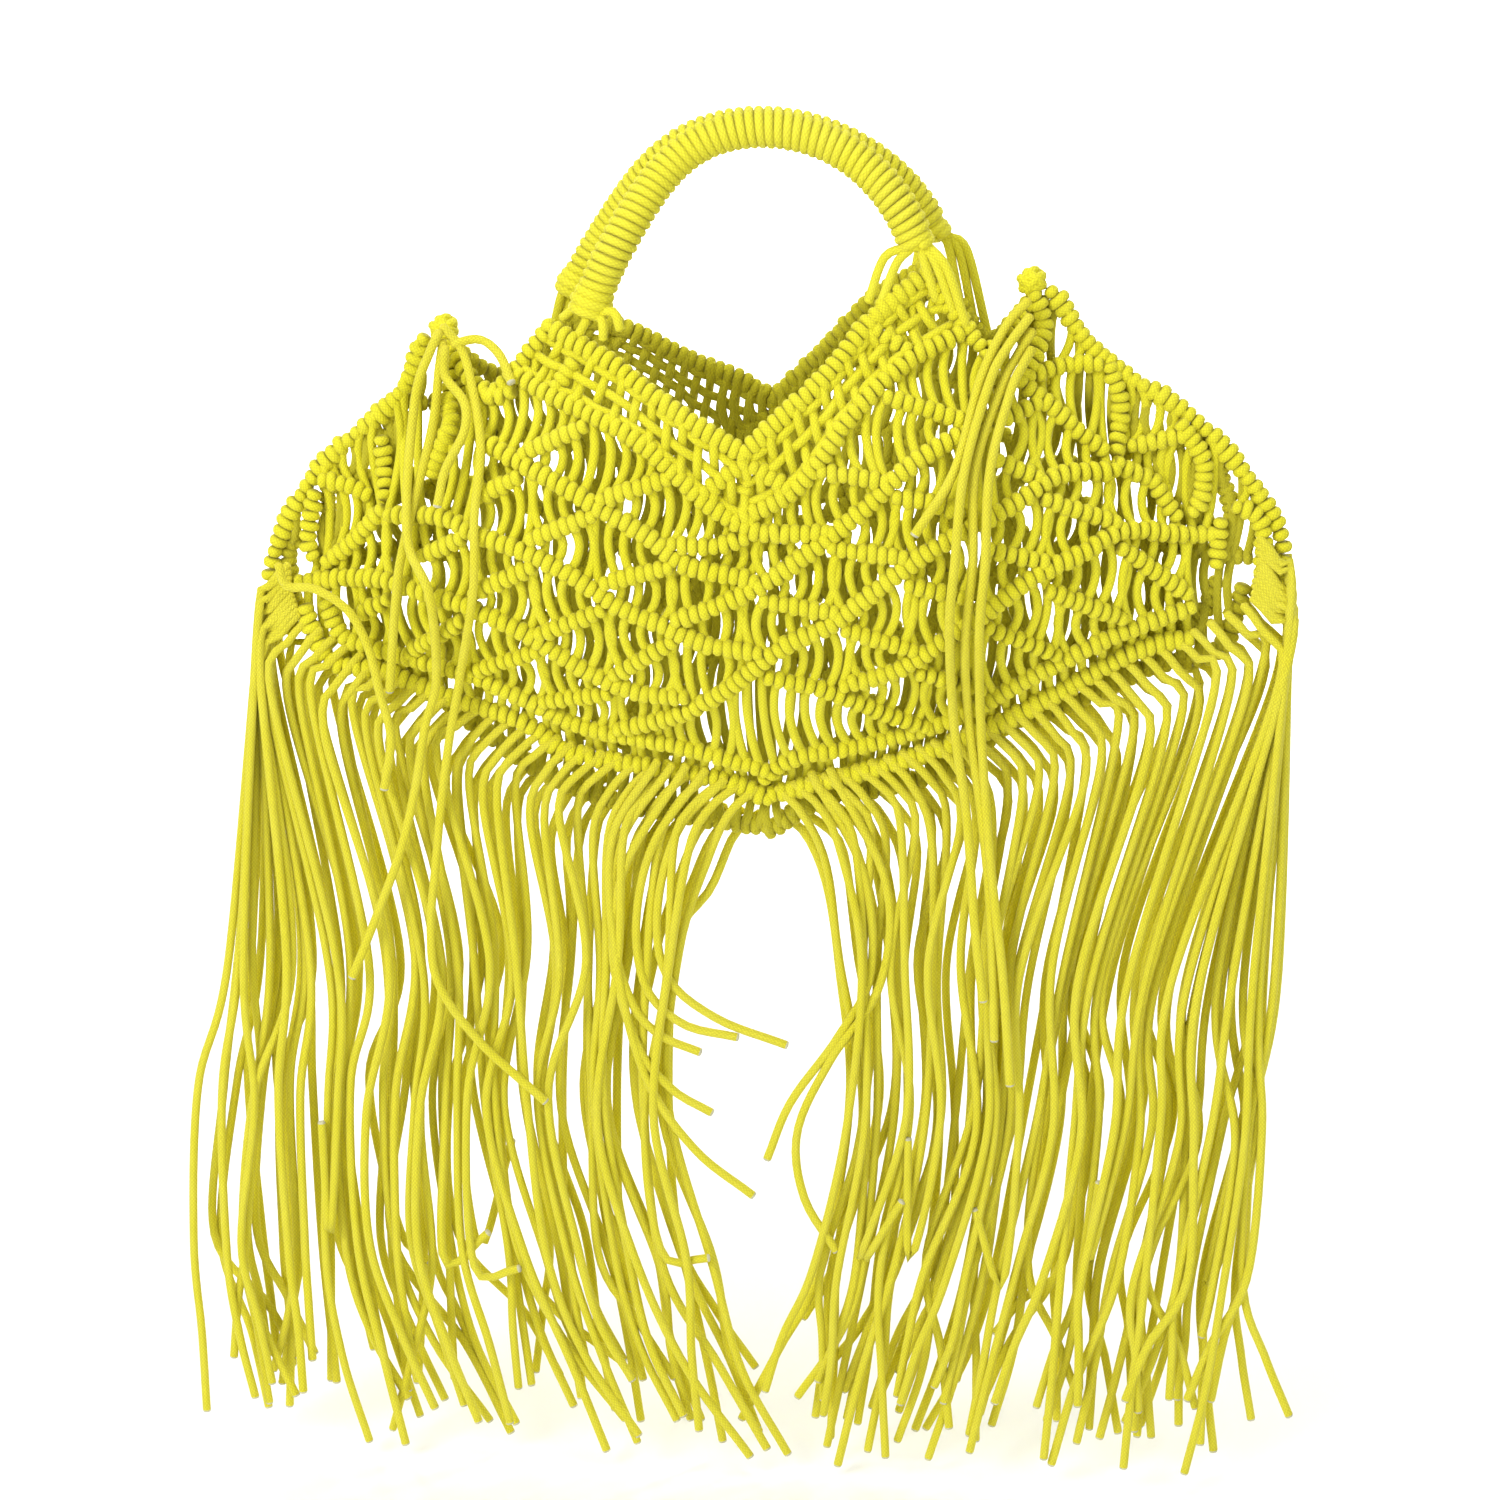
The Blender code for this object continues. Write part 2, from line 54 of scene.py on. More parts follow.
bag = {
    "halfWidth": 0.206,
    "height": 0.276,
    "depth": 0.082,
    "hemFill": 0.095,
    "seamFill": 0.085,
    "seamFlat": 0.003,
    "neckDraw": 0.45,
    "neckDrawHeight": 0.075,
    "lift": 0.0033,         # middle of the knots outside the net's inner face
    "backNeckLift": 0.007,
    "backHemDrop": 0.014,
    # left end x, drop, left middle x, drop, centre x, drop, right middle x, drop, right end x, drop
    "rows": (
        (-0.408, 0.275, -0.209, 0.355, 0.000, 0.442, 0.165, 0.319, 0.335, 0.196),
        (-0.461, 0.326, -0.228, 0.404, 0.000, 0.533, 0.184, 0.377, 0.393, 0.254),
        (-0.549, 0.373, -0.277, 0.516, 0.000, 0.620, 0.277, 0.467, 0.447, 0.283),
        (-0.718, 0.388, -0.369, 0.605, 0.000, 0.739, 0.340, 0.569, 0.660, 0.312),
        (-0.883, 0.500, -0.451, 0.714, 0.010, 0.848, 0.447, 0.670, 0.864, 0.413),
        (-0.981, 0.638, -0.485, 0.833, 0.019, 0.928, 0.495, 0.804, 1.015, 0.565),
        (-0.951, 0.710, -0.500, 0.873, 0.019, 0.964, 0.500, 0.837, 0.990, 0.652),
    ),
    "leftPeak": (-0.634, 0.296),
    "rightPeak": (0.534, 0.214),
}


# colours and materials

def hexColour(text):
    channels = [int(text[i:i + 2], 16) / 255 for i in (1, 3, 5)]
    return tuple(c / 12.92 if c <= 0.04045 else ((c + 0.055) / 1.055) ** 2.4 for c in channels) + (1.0,)


def addNode(tree, kind, settings=None, values=None, links=None):
    # inputs go by name or number. A node given as a link means its first output.
    node = tree.nodes.new(kind)
    for name, value in (settings or {}).items():
        setattr(node, name, value)
    for name, value in (values or {}).items():
        node.inputs[name].default_value = value
    for name, source in (links or {}).items():
        tree.links.new(source.outputs[0] if hasattr(source, "outputs") else source, node.inputs[name])
    return node


def startMaterial(name):
    material = bpy.data.materials.new(name)
    material.use_nodes = True
    tree = material.node_tree
    shader = next(node for node in tree.nodes if node.type == "BSDF_PRINCIPLED")
    return material, tree, shader


braid = {
    "plaits": 8,            # round the cord
    "pull": 0.8,            # plaits along it, for each one round it
    "edge": 0.6,            # under 1 the plaits have narrow grooves
    "plaitHeight": 0.75,
    "fuzzHeight": 0.45,
    "fuzzScale": 1600.0,
    "patchScale": 45.0,     # worn and fresh stretches, about 20 mm long
    "bump": 0.0005,
    "sheen": "#FFF79A",
}


def braidedCotton(name, look):
    # braided cotton cord: soft and matt, a low diamond plait and a fine fuzz that lifts the edges
    material, tree, shader = startMaterial(name)
    uv = addNode(tree, "ShaderNodeUVMap", {"uv_map": "cordUv"})
    parts = addNode(tree, "ShaderNodeSeparateXYZ", links={"Vector": uv})
    place = addNode(tree, "ShaderNodeTexCoord")

    # u runs once round the cord, v counts the same length along it, and two slanting waves cross as plaits
    around = addNode(tree, "ShaderNodeMath", {"operation": "MULTIPLY"}, {1: braid["plaits"] * math.pi},
                     {0: parts.outputs["X"]})
    along = addNode(tree, "ShaderNodeMath", {"operation": "MULTIPLY"}, {1: braid["plaits"] * braid["pull"] * math.pi},
                    {0: parts.outputs["Y"]})
    ways = []
    for operation in ("ADD", "SUBTRACT"):
        slant = addNode(tree, "ShaderNodeMath", {"operation": operation}, links={0: around, 1: along})
        wave = addNode(tree, "ShaderNodeMath", {"operation": "SINE"}, links={0: slant})
        ways.append(addNode(tree, "ShaderNodeMath", {"operation": "ABSOLUTE"}, links={0: wave}))
    crossed = addNode(tree, "ShaderNodeMath", {"operation": "MULTIPLY"}, links={0: ways[0], 1: ways[1]})
    plait = addNode(tree, "ShaderNodeMath", {"operation": "POWER"}, {1: braid["edge"]}, {0: crossed})
    plaitHeight = addNode(tree, "ShaderNodeMath", {"operation": "MULTIPLY"}, {1: braid["plaitHeight"]}, {0: plait})

    # the cut fibres of the cotton stand up as fuzz, and the colour varies a little along the cord
    fuzz = addNode(tree, "ShaderNodeTexNoise", None, {"Scale": braid["fuzzScale"], "Detail": 3.0, "Roughness": 0.65},
                   {"Vector": place.outputs["Object"]})
    patches = addNode(tree, "ShaderNodeTexNoise", None,
                      {"Scale": braid["patchScale"], "Detail": 2.0, "Roughness": 0.5},
                      {"Vector": place.outputs["Object"]})
    height = addNode(tree, "ShaderNodeMath", {"operation": "MULTIPLY_ADD"}, {1: braid["fuzzHeight"]},
                     {0: fuzz.outputs["Fac"], 2: plaitHeight})

    # painted shade in the grooves of the plait, then painted shade where crest is low (between knots, between turns
    # of a winding and on the side facing into the bag), then paler patches
    upper = addNode(tree, "ShaderNodeMath", {"operation": "MULTIPLY_ADD"}, {1: 0.9, 2: 0.1}, {0: height})
    deep = addNode(tree, "ShaderNodeMix", {"data_type": "RGBA"},
                   {"A": hexColour(look["groove"]), "B": hexColour(look["colour"])}, {"Factor": upper})
    # painted shade: where the crest attribute is low the colour turns to the dark seam colour, between knots, between
    # winding turns and on the side facing into the bag
    crest = addNode(tree, "ShaderNodeAttribute", {"attribute_type": "GEOMETRY", "attribute_name": "crest"})
    crestTop = addNode(tree, "ShaderNodeMath", {"operation": "SMOOTH_MIN"}, {1: 0.75, 2: 0.2},
                       {0: crest.outputs["Fac"]})
    crestShare = addNode(tree, "ShaderNodeMath", {"operation": "MULTIPLY_ADD"}, {1: 1.15, 2: 0.15}, {0: crestTop})
    paintedShade = addNode(tree, "ShaderNodeMix", {"data_type": "RGBA"}, {"A": hexColour(look["seam"])},
                     {"B": deep.outputs["Result"], "Factor": crestShare})
    worn = addNode(tree, "ShaderNodeMath", {"operation": "MULTIPLY"}, {1: look["fade"]}, {0: patches.outputs["Fac"]})
    faded = addNode(tree, "ShaderNodeMix", {"data_type": "RGBA"}, {"B": hexColour(look["pale"])},
                    {"A": paintedShade.outputs["Result"], "Factor": worn})
    tree.links.new(faded.outputs["Result"], shader.inputs["Base Color"])

    bump = addNode(tree, "ShaderNodeBump", values={"Strength": look["relief"], "Distance": braid["bump"]},
                   links={"Height": height})
    tree.links.new(bump.outputs["Normal"], shader.inputs["Normal"])
    shader.inputs["Roughness"].default_value = 0.82
    shader.inputs["Specular IOR Level"].default_value = 0.28
    shader.inputs["Sheen Weight"].default_value = 0.35
    shader.inputs["Sheen Roughness"].default_value = 0.45
    shader.inputs["Sheen Tint"].default_value = hexColour(braid["sheen"])
    return material


def cutCotton(name, look):
    # cut end of the cord: the undyed core fibres show as a pale grey disc
    material, tree, shader = startMaterial(name)
    place = addNode(tree, "ShaderNodeTexCoord")
    fibres = addNode(tree, "ShaderNodeTexNoise", None, {"Scale": 2400.0, "Detail": 2.0},
                     {"Vector": place.outputs["Object"]})
    mixed = addNode(tree, "ShaderNodeMix", {"data_type": "RGBA"},
                    {"A": hexColour(look["dark"]), "B": hexColour(look["colour"])}, {"Factor": fibres.outputs["Fac"]})
    tree.links.new(mixed.outputs["Result"], shader.inputs["Base Color"])
    bump = addNode(tree, "ShaderNodeBump", values={"Strength": 0.8, "Distance": 0.0004},
                   links={"Height": fibres.outputs["Fac"]})
    tree.links.new(bump.outputs["Normal"], shader.inputs["Normal"])
    shader.inputs["Roughness"].default_value = 0.95
    return material


# the seam colour is painted shade, the olive of cord in shadow, and the groove colour is painted shade in the plait
knottedCord = braidedCotton("knottedBraidedCotton", {
    "colour": "#F0EB22", "groove": "#CABB00", "pale": "#F8F468", "fade": 0.22,
    "relief": 0.6, "seam": "#8E8200"})
woundCord = braidedCotton("woundBraidedCotton", {
    "colour": "#F2ED2E", "groove": "#CFC006", "pale": "#FAF674", "fade": 0.26,
    "relief": 0.6, "seam": "#8E8200"})
looseCord = braidedCotton("looseBraidedCotton", {
    "colour": "#EEE62C", "groove": "#C9B906", "pale": "#F8F274", "fade": 0.30,
    "relief": 0.8, "seam": "#8E8200"})
cutCore = cutCotton("cutCottonCore", {"colour": "#F2F0D2", "dark": "#A8A27C"})
print("materials made")


# the bag's form

def threePoint(first, middle, last, share):
    a = (1 - share) * (1 - 2 * share)
    b = 4 * share * (1 - share)
    c = share * (2 * share - 1)
    return a * first[0] + b * middle[0] + c * last[0], a * first[1] + b * middle[1] + c * last[1]


def rowPoint(row, across, side):
    values = bag["rows"][row]
    if across < 0:
        x, drop = threePoint(values[4:6], values[2:4], values[0:2], -across)
    else:
        x, drop = threePoint(values[4:6], values[6:8], values[8:10], across)
    z = -drop * bag["height"]
    if side > 0:
        middle = max(0.0, 1 - across * across)
        z += bag["backNeckLift"] * middle * max(0.0, 1 - row / 2)
        z -= bag["backHemDrop"] * middle * max(0.0, (row - 2) / 4) ** 2
    return x * bag["halfWidth"], z


def netPoint(row, across, side):
    first = min(max(int(math.floor(row)), 0), 5)
    x0, z0 = rowPoint(first, across, side)
    x1, z1 = rowPoint(first + 1, across, side)
    return x0 + (x1 - x0) * (row - first), z0 + (z1 - z0) * (row - first)


hemLines = {side: np.array([rowPoint(6, -1 + step / 6, side) for step in range(13)]) for side in (-1, 1)}


def rise(share):
    share = min(max(share, 0.0), 1.0)
    return 1 - (1 - share) ** 2


def smoothStep(share):
    share = min(max(share, 0.0), 1.0)
    return share * share * (3 - 2 * share)


def seamDistance(x, z):
    nearest = 9.0
    for across, peak in ((-1, bag["leftPeak"]), (1, bag["rightPeak"])):
        x0, z0 = rowPoint(6, across, -1)
        x1, z1 = peak[0] * bag["halfWidth"], -peak[1] * bag["height"]
        length = math.hypot(x1 - x0, z1 - z0)
        nearest = min(nearest, across * ((x1 - x0) * (z - z0) - (z1 - z0) * (x - x0)) / length)
    return nearest


def halfDepth(x, z, side):
    line = hemLines[side]
    height = z - float(np.interp(x, line[:, 0], line[:, 1]))
    drawn = 1 - bag["neckDraw"] * smoothStep((z - rowPoint(0, 0, -1)[1]) / bag["neckDrawHeight"])
    seam = rise((seamDistance(x, z) - bag["seamFlat"]) / bag["seamFill"])
    return bag["depth"] / 2 * rise(height / bag["hemFill"]) * seam * drawn


def onBag(x, z, side, lift=bag["lift"]):
    return np.array((x, side * (halfDepth(x, z, side) + lift), z))


def bagNormal(x, z, side):
    step = 0.004
    dx = (halfDepth(x + step, z, side) - halfDepth(x - step, z, side)) / (2 * step)
    dz = (halfDepth(x, z + step, side) - halfDepth(x, z - step, side)) / (2 * step)
    normal = np.array((-dx, side, -dz))
    return normal / np.linalg.norm(normal)


# many small knots and cords are joined into one mesh for each piece

def newStore():
    return {"points": [], "crests": [], "faces": [], "uvs": [], "slots": [], "count": 0}


def keepPart(store, points, crests, *groups):
    # crests is 1 on top of a cord and falls to 0 in the groove beside it; the material paints shade where it is low
    # each group is its faces of three or four corners, their uvs and the material's number
    for faces, uvs, slot in groups:
        store["faces"].append(faces + store["count"])
        store["uvs"].append(uvs)
        store["slots"].append(np.full(len(faces), slot, dtype=np.int32))
    store["points"].append(points)
    store["crests"].append(np.broadcast_to(crests, len(points)))
    store["count"] += len(points)


def makePiece(name, store, materials, node):
    mesh = bpy.data.meshes.new(name)
    points = np.concatenate(store["points"])
    mesh.vertices.add(len(points))
    mesh.vertices.foreach_set("co", points.astype(np.float32).ravel())
    corners = np.concatenate([faces.ravel() for faces in store["faces"]]).astype(np.int32)
    sizes = np.concatenate([np.full(len(faces), faces.shape[1], dtype=np.int32) for faces in store["faces"]])
    starts = np.concatenate(([0], np.cumsum(sizes)[:-1])).astype(np.int32)
    mesh.loops.add(len(corners))
    mesh.loops.foreach_set("vertex_index", corners)
    mesh.polygons.add(len(sizes))
    mesh.polygons.foreach_set("loop_start", starts)
    mesh.polygons.foreach_set("material_index", np.concatenate(store["slots"]))
    mesh.polygons.foreach_set("use_smooth", np.ones(len(sizes), dtype=bool))
    layer = mesh.uv_layers.new(name="cordUv")
    uvs = np.concatenate([part.reshape(-1, 2) for part in store["uvs"]])
    layer.data.foreach_set("uv", uvs.astype(np.float32).ravel())
    crest = mesh.attributes.new("crest", "FLOAT", "POINT")
    crest.data.foreach_set("value", np.concatenate(store["crests"]).astype(np.float32))
    mesh.update(calc_edges=True)
    mesh.validate()
    for material in materials:
        mesh.materials.append(material)
    piece = bpy.data.objects.new(name, mesh)
    bpy.context.scene.collection.objects.link(piece)
    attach(piece, "root")
    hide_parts(node)
    print(name, int((sizes - 2).sum()), "triangles")


def smoothPath(points, step):
    # Catmull-Rom curve through the points, cut into even steps
    points = np.asarray(points, dtype=float)
    if len(points) == 2:
        dense = points[0] + (points[1] - points[0]) * np.linspace(0, 1, 12)[:, None]
    else:
        padded = np.vstack((2 * points[0] - points[1], points, 2 * points[-1] - points[-2]))
        t = np.linspace(0, 1, 14, endpoint=False)[:, None]
        spans = []
        for index in range(len(points) - 1):
            a, b, c, d = padded[index:index + 4]
            spans.append(0.5 * (2 * b + (c - a) * t + (2 * a - 5 * b + 4 * c - d) * t ** 2
                                + (3 * b - a - 3 * c + d) * t ** 3))
        dense = np.vstack(spans + [points[-1:]])
    gaps = np.linalg.norm(np.diff(dense, axis=0), axis=1)
    travel = np.concatenate(([0], np.cumsum(gaps)))
    count = max(2, int(round(travel[-1] / step)) + 1)
    marks = np.linspace(0, travel[-1], count)
    return np.stack([np.interp(marks, travel, dense[:, axis]) for axis in range(dense.shape[1])], axis=1)


def pathFrames(path):
    tangents = np.gradient(path, axis=0)
    tangents /= np.linalg.norm(tangents, axis=1)[:, None] + 1e-12
    start = np.cross(tangents[0], (0.0, 1.0, 0.0))
    if np.linalg.norm(start) < 0.2:
        start = np.cross(tangents[0], (1.0, 0.0, 0.0))
    first = start / np.linalg.norm(start)
    frames = [first]
    for tangent in tangents[1:]:
        first = first - tangent * np.dot(first, tangent)
        first = first / (np.linalg.norm(first) + 1e-12)
        frames.append(first)
    firsts = np.array(frames)
    return tangents, firsts, np.cross(tangents, firsts)


def gridFaces(rows, columns):
    # quads between neighbouring rings of points, closed round each ring
    row, column = np.meshgrid(np.arange(rows - 1), np.arange(columns), indexing="ij")
    after = (column + 1) % columns
    faces = np.stack((row * columns + column, row * columns + after, (row + 1) * columns + after,
                      (row + 1) * columns + column), axis=-1).reshape(-1, 4)
    return faces, row, column


def addCord(store, path, thick, sides=None, cut=(False, False), outward=0, grooves=None):
    # round cord along the path. A cut end shows its pale core, and crest is low, for painted shade, where cord lies
    # on cord:
    # on the side that faces into the bag, or against the next turn of a winding.
    sides = sides or cord["sides"]
    radius = thick / 2
    tangents, firsts, seconds = pathFrames(path)
    turn = 2 * math.pi * np.arange(sides) / sides
    rings = path[:, None, :] + radius * (np.cos(turn)[None, :, None] * firsts[:, None, :]
                                         + np.sin(turn)[None, :, None] * seconds[:, None, :])
    count = len(path)
    faces, row, column = gridFaces(count, sides)
    travel = np.concatenate(([0], np.cumsum(np.linalg.norm(np.diff(path, axis=0), axis=1))))
    travel /= 2 * math.pi * radius      # in turns round the cord
    u0, u1 = column / sides, (column + 1) / sides
    v0, v1 = travel[row], travel[row + 1]
    uvs = np.stack((u0, v0, u1, v0, u1, v1, u0, v1), axis=-1).reshape(-1, 4, 2)
    groups = [(faces, uvs, 0)]
    points = [rings.reshape(-1, 3)]
    ring = np.arange(sides)
    after = (ring + 1) % sides
    total = count * sides
    for end, way, isCut in ((0, -1, cut[0]), (count - 1, 1, cut[1])):
        inner = path[end] + way * tangents[end] * radius * (0.45 if isCut else 0.25) + (
            rings[end] - path[end]) * (0.86 if isCut else 0.7)
        middle = path[end] + way * tangents[end] * radius * 0.6
        points.append(np.vstack((inner, middle)))
        rim = end * sides
        band = np.stack((rim + ring, rim + after, total + after, total + ring), axis=-1)
        fan = np.stack((total + ring, total + after, np.full(sides, total + sides)), axis=-1)
        if way < 0:
            band, fan = band[:, ::-1], fan[:, ::-1]
        endUv = np.stack((ring / sides, np.full(sides, travel[end])), axis=-1)
        groups.append((band, np.repeat(endUv[:, None, :], 4, axis=1), 1 if isCut else 0))
        groups.append((fan, np.repeat(endUv[:, None, :], 3, axis=1), 1 if isCut else 0))
        total += sides + 1
    points = np.vstack(points)
    crests = 1.0
    # painted shade: an upright cord is a little darker all round, and darker on the side that faces into the bag
    if outward:
        offset = np.concatenate([((rings[:, :, 1] - path[:, None, 1]) / radius).ravel(), np.zeros(2 * sides + 2)])
        crests = 0.88 - beadShape["innerShade"] * (1 - np.clip(offset * outward, -1, 1)) / 2
    # painted shade between the turns of a winding
    if grooves is not None:
        offset = np.einsum("ijk,ik->ij", rings - path[:, None, :], grooves) / radius
        crests = np.concatenate([1 - 0.85 * offset.ravel() ** 2, np.ones(2 * sides + 2)])
    keepPart(store, points, crests, *groups)


beadShape = {
    "around": 10, "across": 5,
    "innerShade": 0.72,     # how far the side that faces into the bag is shaded
    "lean": 0.07,           # spread of a knot's lean, in radians
    "uneven": 0.045,        # and of its width
    "last": 0.82,           # size of the first and last knot of a rib
    "squash": 1.06,         # knots press into each other along the rib
}


def addBead(store, centre, along, wide, out, halfLong, halfWide, halfDeep):
    # one half hitch: a plump ring of cord round the rib, closed by the knots beside it
    around, across = beadShape["around"], beadShape["across"]
    turn = 2 * math.pi * np.arange(around) / around
    over = np.linspace(-math.pi / 2, math.pi / 2, across + 1)
    cordHalf = cord["thick"] / 2
    wideReach = (halfWide - cordHalf) + cordHalf * np.cos(over)
    deepReach = (halfDeep - cordHalf) + cordHalf * np.cos(over)
    shift = halfLong * np.sin(over)
    points = (centre + shift[:, None, None] * along
              + (wideReach[:, None] * np.cos(turn)[None, :])[:, :, None] * wide
              + (deepReach[:, None] * np.sin(turn)[None, :])[:, :, None] * out).reshape(-1, 3)
    ends = np.vstack((centre - along * halfLong * 0.9, centre + along * halfLong * 0.9))
    faces, row, column = gridFaces(across + 1, around)
    ringLength = (halfWide + halfDeep) / cord["thick"]      # both in turns round the cord
    u0, u1 = row / across * 0.5, (row + 1) / across * 0.5
    v0, v1 = column / around * ringLength, (column + 1) / around * ringLength
    uvs = np.stack((u0, v0, u0, v1, u1, v1, u1, v0), axis=-1).reshape(-1, 4, 2)
    inside = 1 - beadShape["innerShade"] * (1 - np.sin(turn)) / 2     # the side that faces into the bag lies in shade
    # painted shade in the grooves between knots and on the side that faces into the bag
    crests = np.concatenate((np.outer(np.cos(over), inside).ravel(), (0.0, 0.0)))
    ring = np.arange(around)
    after = (ring + 1) % around
    last = across * around
    low = np.stack((after, ring, np.full(around, len(points))), axis=-1)
    high = np.stack((last + ring, last + after, np.full(around, len(points) + 1)), axis=-1)
    if np.dot(np.cross(wide, out), along) < 0:
        faces, uvs, low, high = faces[:, ::-1], uvs[:, ::-1], low[:, ::-1], high[:, ::-1]
    capUv = np.zeros((2 * around, 3, 2))
    keepPart(store, np.vstack((points, ends)), crests, (faces, uvs, 0), (np.vstack((low, high)), capUv, 0))


def addRib(store, path, normals, ribWidth=cord["ribWidth"], ribDepth=cord["ribDepth"], pitch=cord["beadPitch"],
           tilt=0.10, scallop=0.0):
    # row of half hitches along a path that is already cut at the pitch
    tangents = np.gradient(path, axis=0)
    tangents /= np.linalg.norm(tangents, axis=1)[:, None]
    for index in range(len(path)):
        tangent, normal = tangents[index], normals[index]
        normal = normal - tangent * np.dot(normal, tangent)
        normal /= np.linalg.norm(normal)
        wide = np.cross(normal, tangent)
        lean = tilt + dice.normal(0, beadShape["lean"])
        if wide[2] < 0:
            wide = -wide
        upright = wide * math.cos(lean) + tangent * math.sin(lean) * (1 if tangent[2] > 0 else -1)
        along = np.cross(upright, normal)
        size = 1 + dice.normal(0, beadShape["uneven"]) + (0.03 if index % 2 else -0.03)
        size *= 1 + scallop * math.sin(index * 0.9)
        if index in (0, len(path) - 1):
            size *= beadShape["last"]
        centre = path[index] + wide * dice.normal(0, 0.00018) + normal * dice.normal(0, 0.00012)
        addBead(store, centre, along, upright, normal, pitch / 2 * beadShape["squash"],
                ribWidth / 2 * size, ribDepth / 2 * (1 + dice.normal(0, 0.03)))


# side seams: square knots over the joined edges of both panels

seam = {"width": 0.0084, "pitch": 0.0043, "out": 0.0043, "tab": 0.0045, "cutLast": 2}


def seamPath(across, peak):
    x, z = peak[0] * bag["halfWidth"], -peak[1] * bag["height"]
    edge = [(x + across * seam["tab"], z)] + [rowPoint(row, across, -1) for row in range(3, 7)]
    flat = smoothPath(edge, seam["pitch"])
    run = np.gradient(flat, axis=0)
    run /= np.linalg.norm(run, axis=1)[:, None]
    flat = flat + across * seam["out"] * np.stack((-run[:, 1], run[:, 0]), axis=1)
    return np.stack((flat[:, 0], np.zeros(len(flat)), flat[:, 1]), axis=1)[:-seam["cutLast"]]


seams = {"left": seamPath(-1, bag["leftPeak"]), "right": seamPath(1, bag["rightPeak"])}


def makeSeam(name, path, node):
    normals = np.tile((0.0, -1.0, 0.0), (len(path), 1))
    store = newStore()
    addRib(store, path, normals, seam["width"], seam["width"], seam["pitch"], tilt=0.05, scallop=0.16)
    makePiece(name, store, [knottedCord], node)


# net panels: long ribs run from the middle to the sides, short ribs hang between them

longRibs = {
    "neckInnerLeft": ((1.91, 0.257), (1.31, 0.066), (1.14, -0.130), (1.10, -0.278), (0.98, -0.477),
                      (1.03, -0.685), (1.08, -0.878), (1.02, -1.000)),
    "neckInnerRight": ((1.06, -0.056), (1.12, 0.163), (1.15, 0.306), (1.00, 0.530), (0.88, 0.776), (1.11, 0.989)),
    "firstLeft": ((1.95, 0.015), (2.09, -0.222), (1.99, -0.372), (2.00, -0.546), (2.06, -0.705), (2.32, -0.879)),
    "firstRight": ((2.82, -0.203), (2.33, -0.076), (2.05, 0.097), (2.00, 0.255), (1.99, 0.381), (2.00, 0.593),
                   (2.29, 0.773), (2.74, 0.895)),
    "secondLeft": ((2.90, 0.023), (2.97, -0.119), (2.97, -0.228), (3.01, -0.335), (2.98, -0.448),
                   (3.03, -0.571), (3.26, -0.695), (3.41, -0.781), (3.82, -0.861)),
    "secondRight": ((4.84, -0.297), (4.29, -0.181), (3.57, -0.069), (2.99, 0.088), (3.04, 0.231), (2.99, 0.354),
                    (2.98, 0.471), (3.08, 0.603), (3.25, 0.714), (3.35, 0.802), (3.71, 0.868)),
    "thirdLeft": ((3.89, -0.159), (4.06, -0.244), (4.09, -0.332), (4.01, -0.421), (3.94, -0.516),
                  (4.02, -0.622), (4.27, -0.750), (4.47, -0.830), (5.07, -0.961)),
    "thirdRight": ((3.90, 0.200), (4.04, 0.304), (4.01, 0.421), (3.97, 0.519), (3.94, 0.624), (4.07, 0.736),
                   (4.16, 0.811), (4.53, 0.890), (4.69, 0.930)),
    "hemInnerLeft": ((5.01, -0.003), (4.87, -0.177), (5.04, -0.372), (4.90, -0.497), (4.90, -0.602),
                     (5.32, -0.741), (5.80, -0.876), (5.15, -0.905)),
    "hemInnerRight": ((5.47, -0.005), (4.87, 0.068), (4.99, 0.236), (5.18, 0.401), (4.93, 0.572), (4.95, 0.720),
                      (5.35, 0.861)),
}
neckRimRibs = (
    ((-0.15, -0.023), (-0.17, -0.168), (-0.29, -0.460), (-0.44, -0.711), (-0.29, -0.934), (-0.24, -1.038)),
    ((-0.20, -0.014), (-0.30, 0.190), (-0.25, 0.429), (-0.43, 0.741), (-0.24, 1.021)),
)
hemRibs = (
    ((6.46, 0.001), (5.97, -0.097), (6.26, -0.286), (6.39, -0.398), (5.80, -0.491), (6.07, -0.660),
     (6.18, -0.793), (6.72, -0.935), (6.11, -0.965), (5.69, -0.966)),
    ((6.33, 0.009), (6.51, 0.184), (6.62, 0.348), (6.43, 0.472), (6.05, 0.603), (5.75, 0.757), (6.13, 0.870)),
)
shortRibsLeft = (
    ((1.89, -0.535), (1.21, -0.341)),
    ((2.89, -0.603), (2.15, -0.534)),
    ((2.94, -0.751), (2.35, -0.751)),
    ((2.82, -0.402), (2.22, -0.266)),
    ((3.86, -0.479), (3.18, -0.382)),
    ((3.84, -0.635), (3.17, -0.566)),
    ((4.83, -0.599), (4.13, -0.476)),
    ((3.95, -0.308), (3.14, -0.202)),
    ((4.82, -0.451), (4.29, -0.322)),
    ((1.93, -0.276), (1.65, -0.128), (1.24, -0.021)),
    ((3.87, -0.760), (3.43, -0.723)),
    ((4.98, -0.840), (4.57, -0.792)),
    ((5.04, -0.726), (4.26, -0.638)),
    ((2.02, -0.806), (1.22, -0.682)),
    ((1.02, -0.189), (0.02, -0.023)),
    ((0.10, 0.029), (1.06, 0.201)),
    ((1.94, -1.005), (1.30, -1.010), (0.49, -1.033), (-0.25, -1.028)),
    ((0.86, -0.848), (0.17, -0.847)),
)
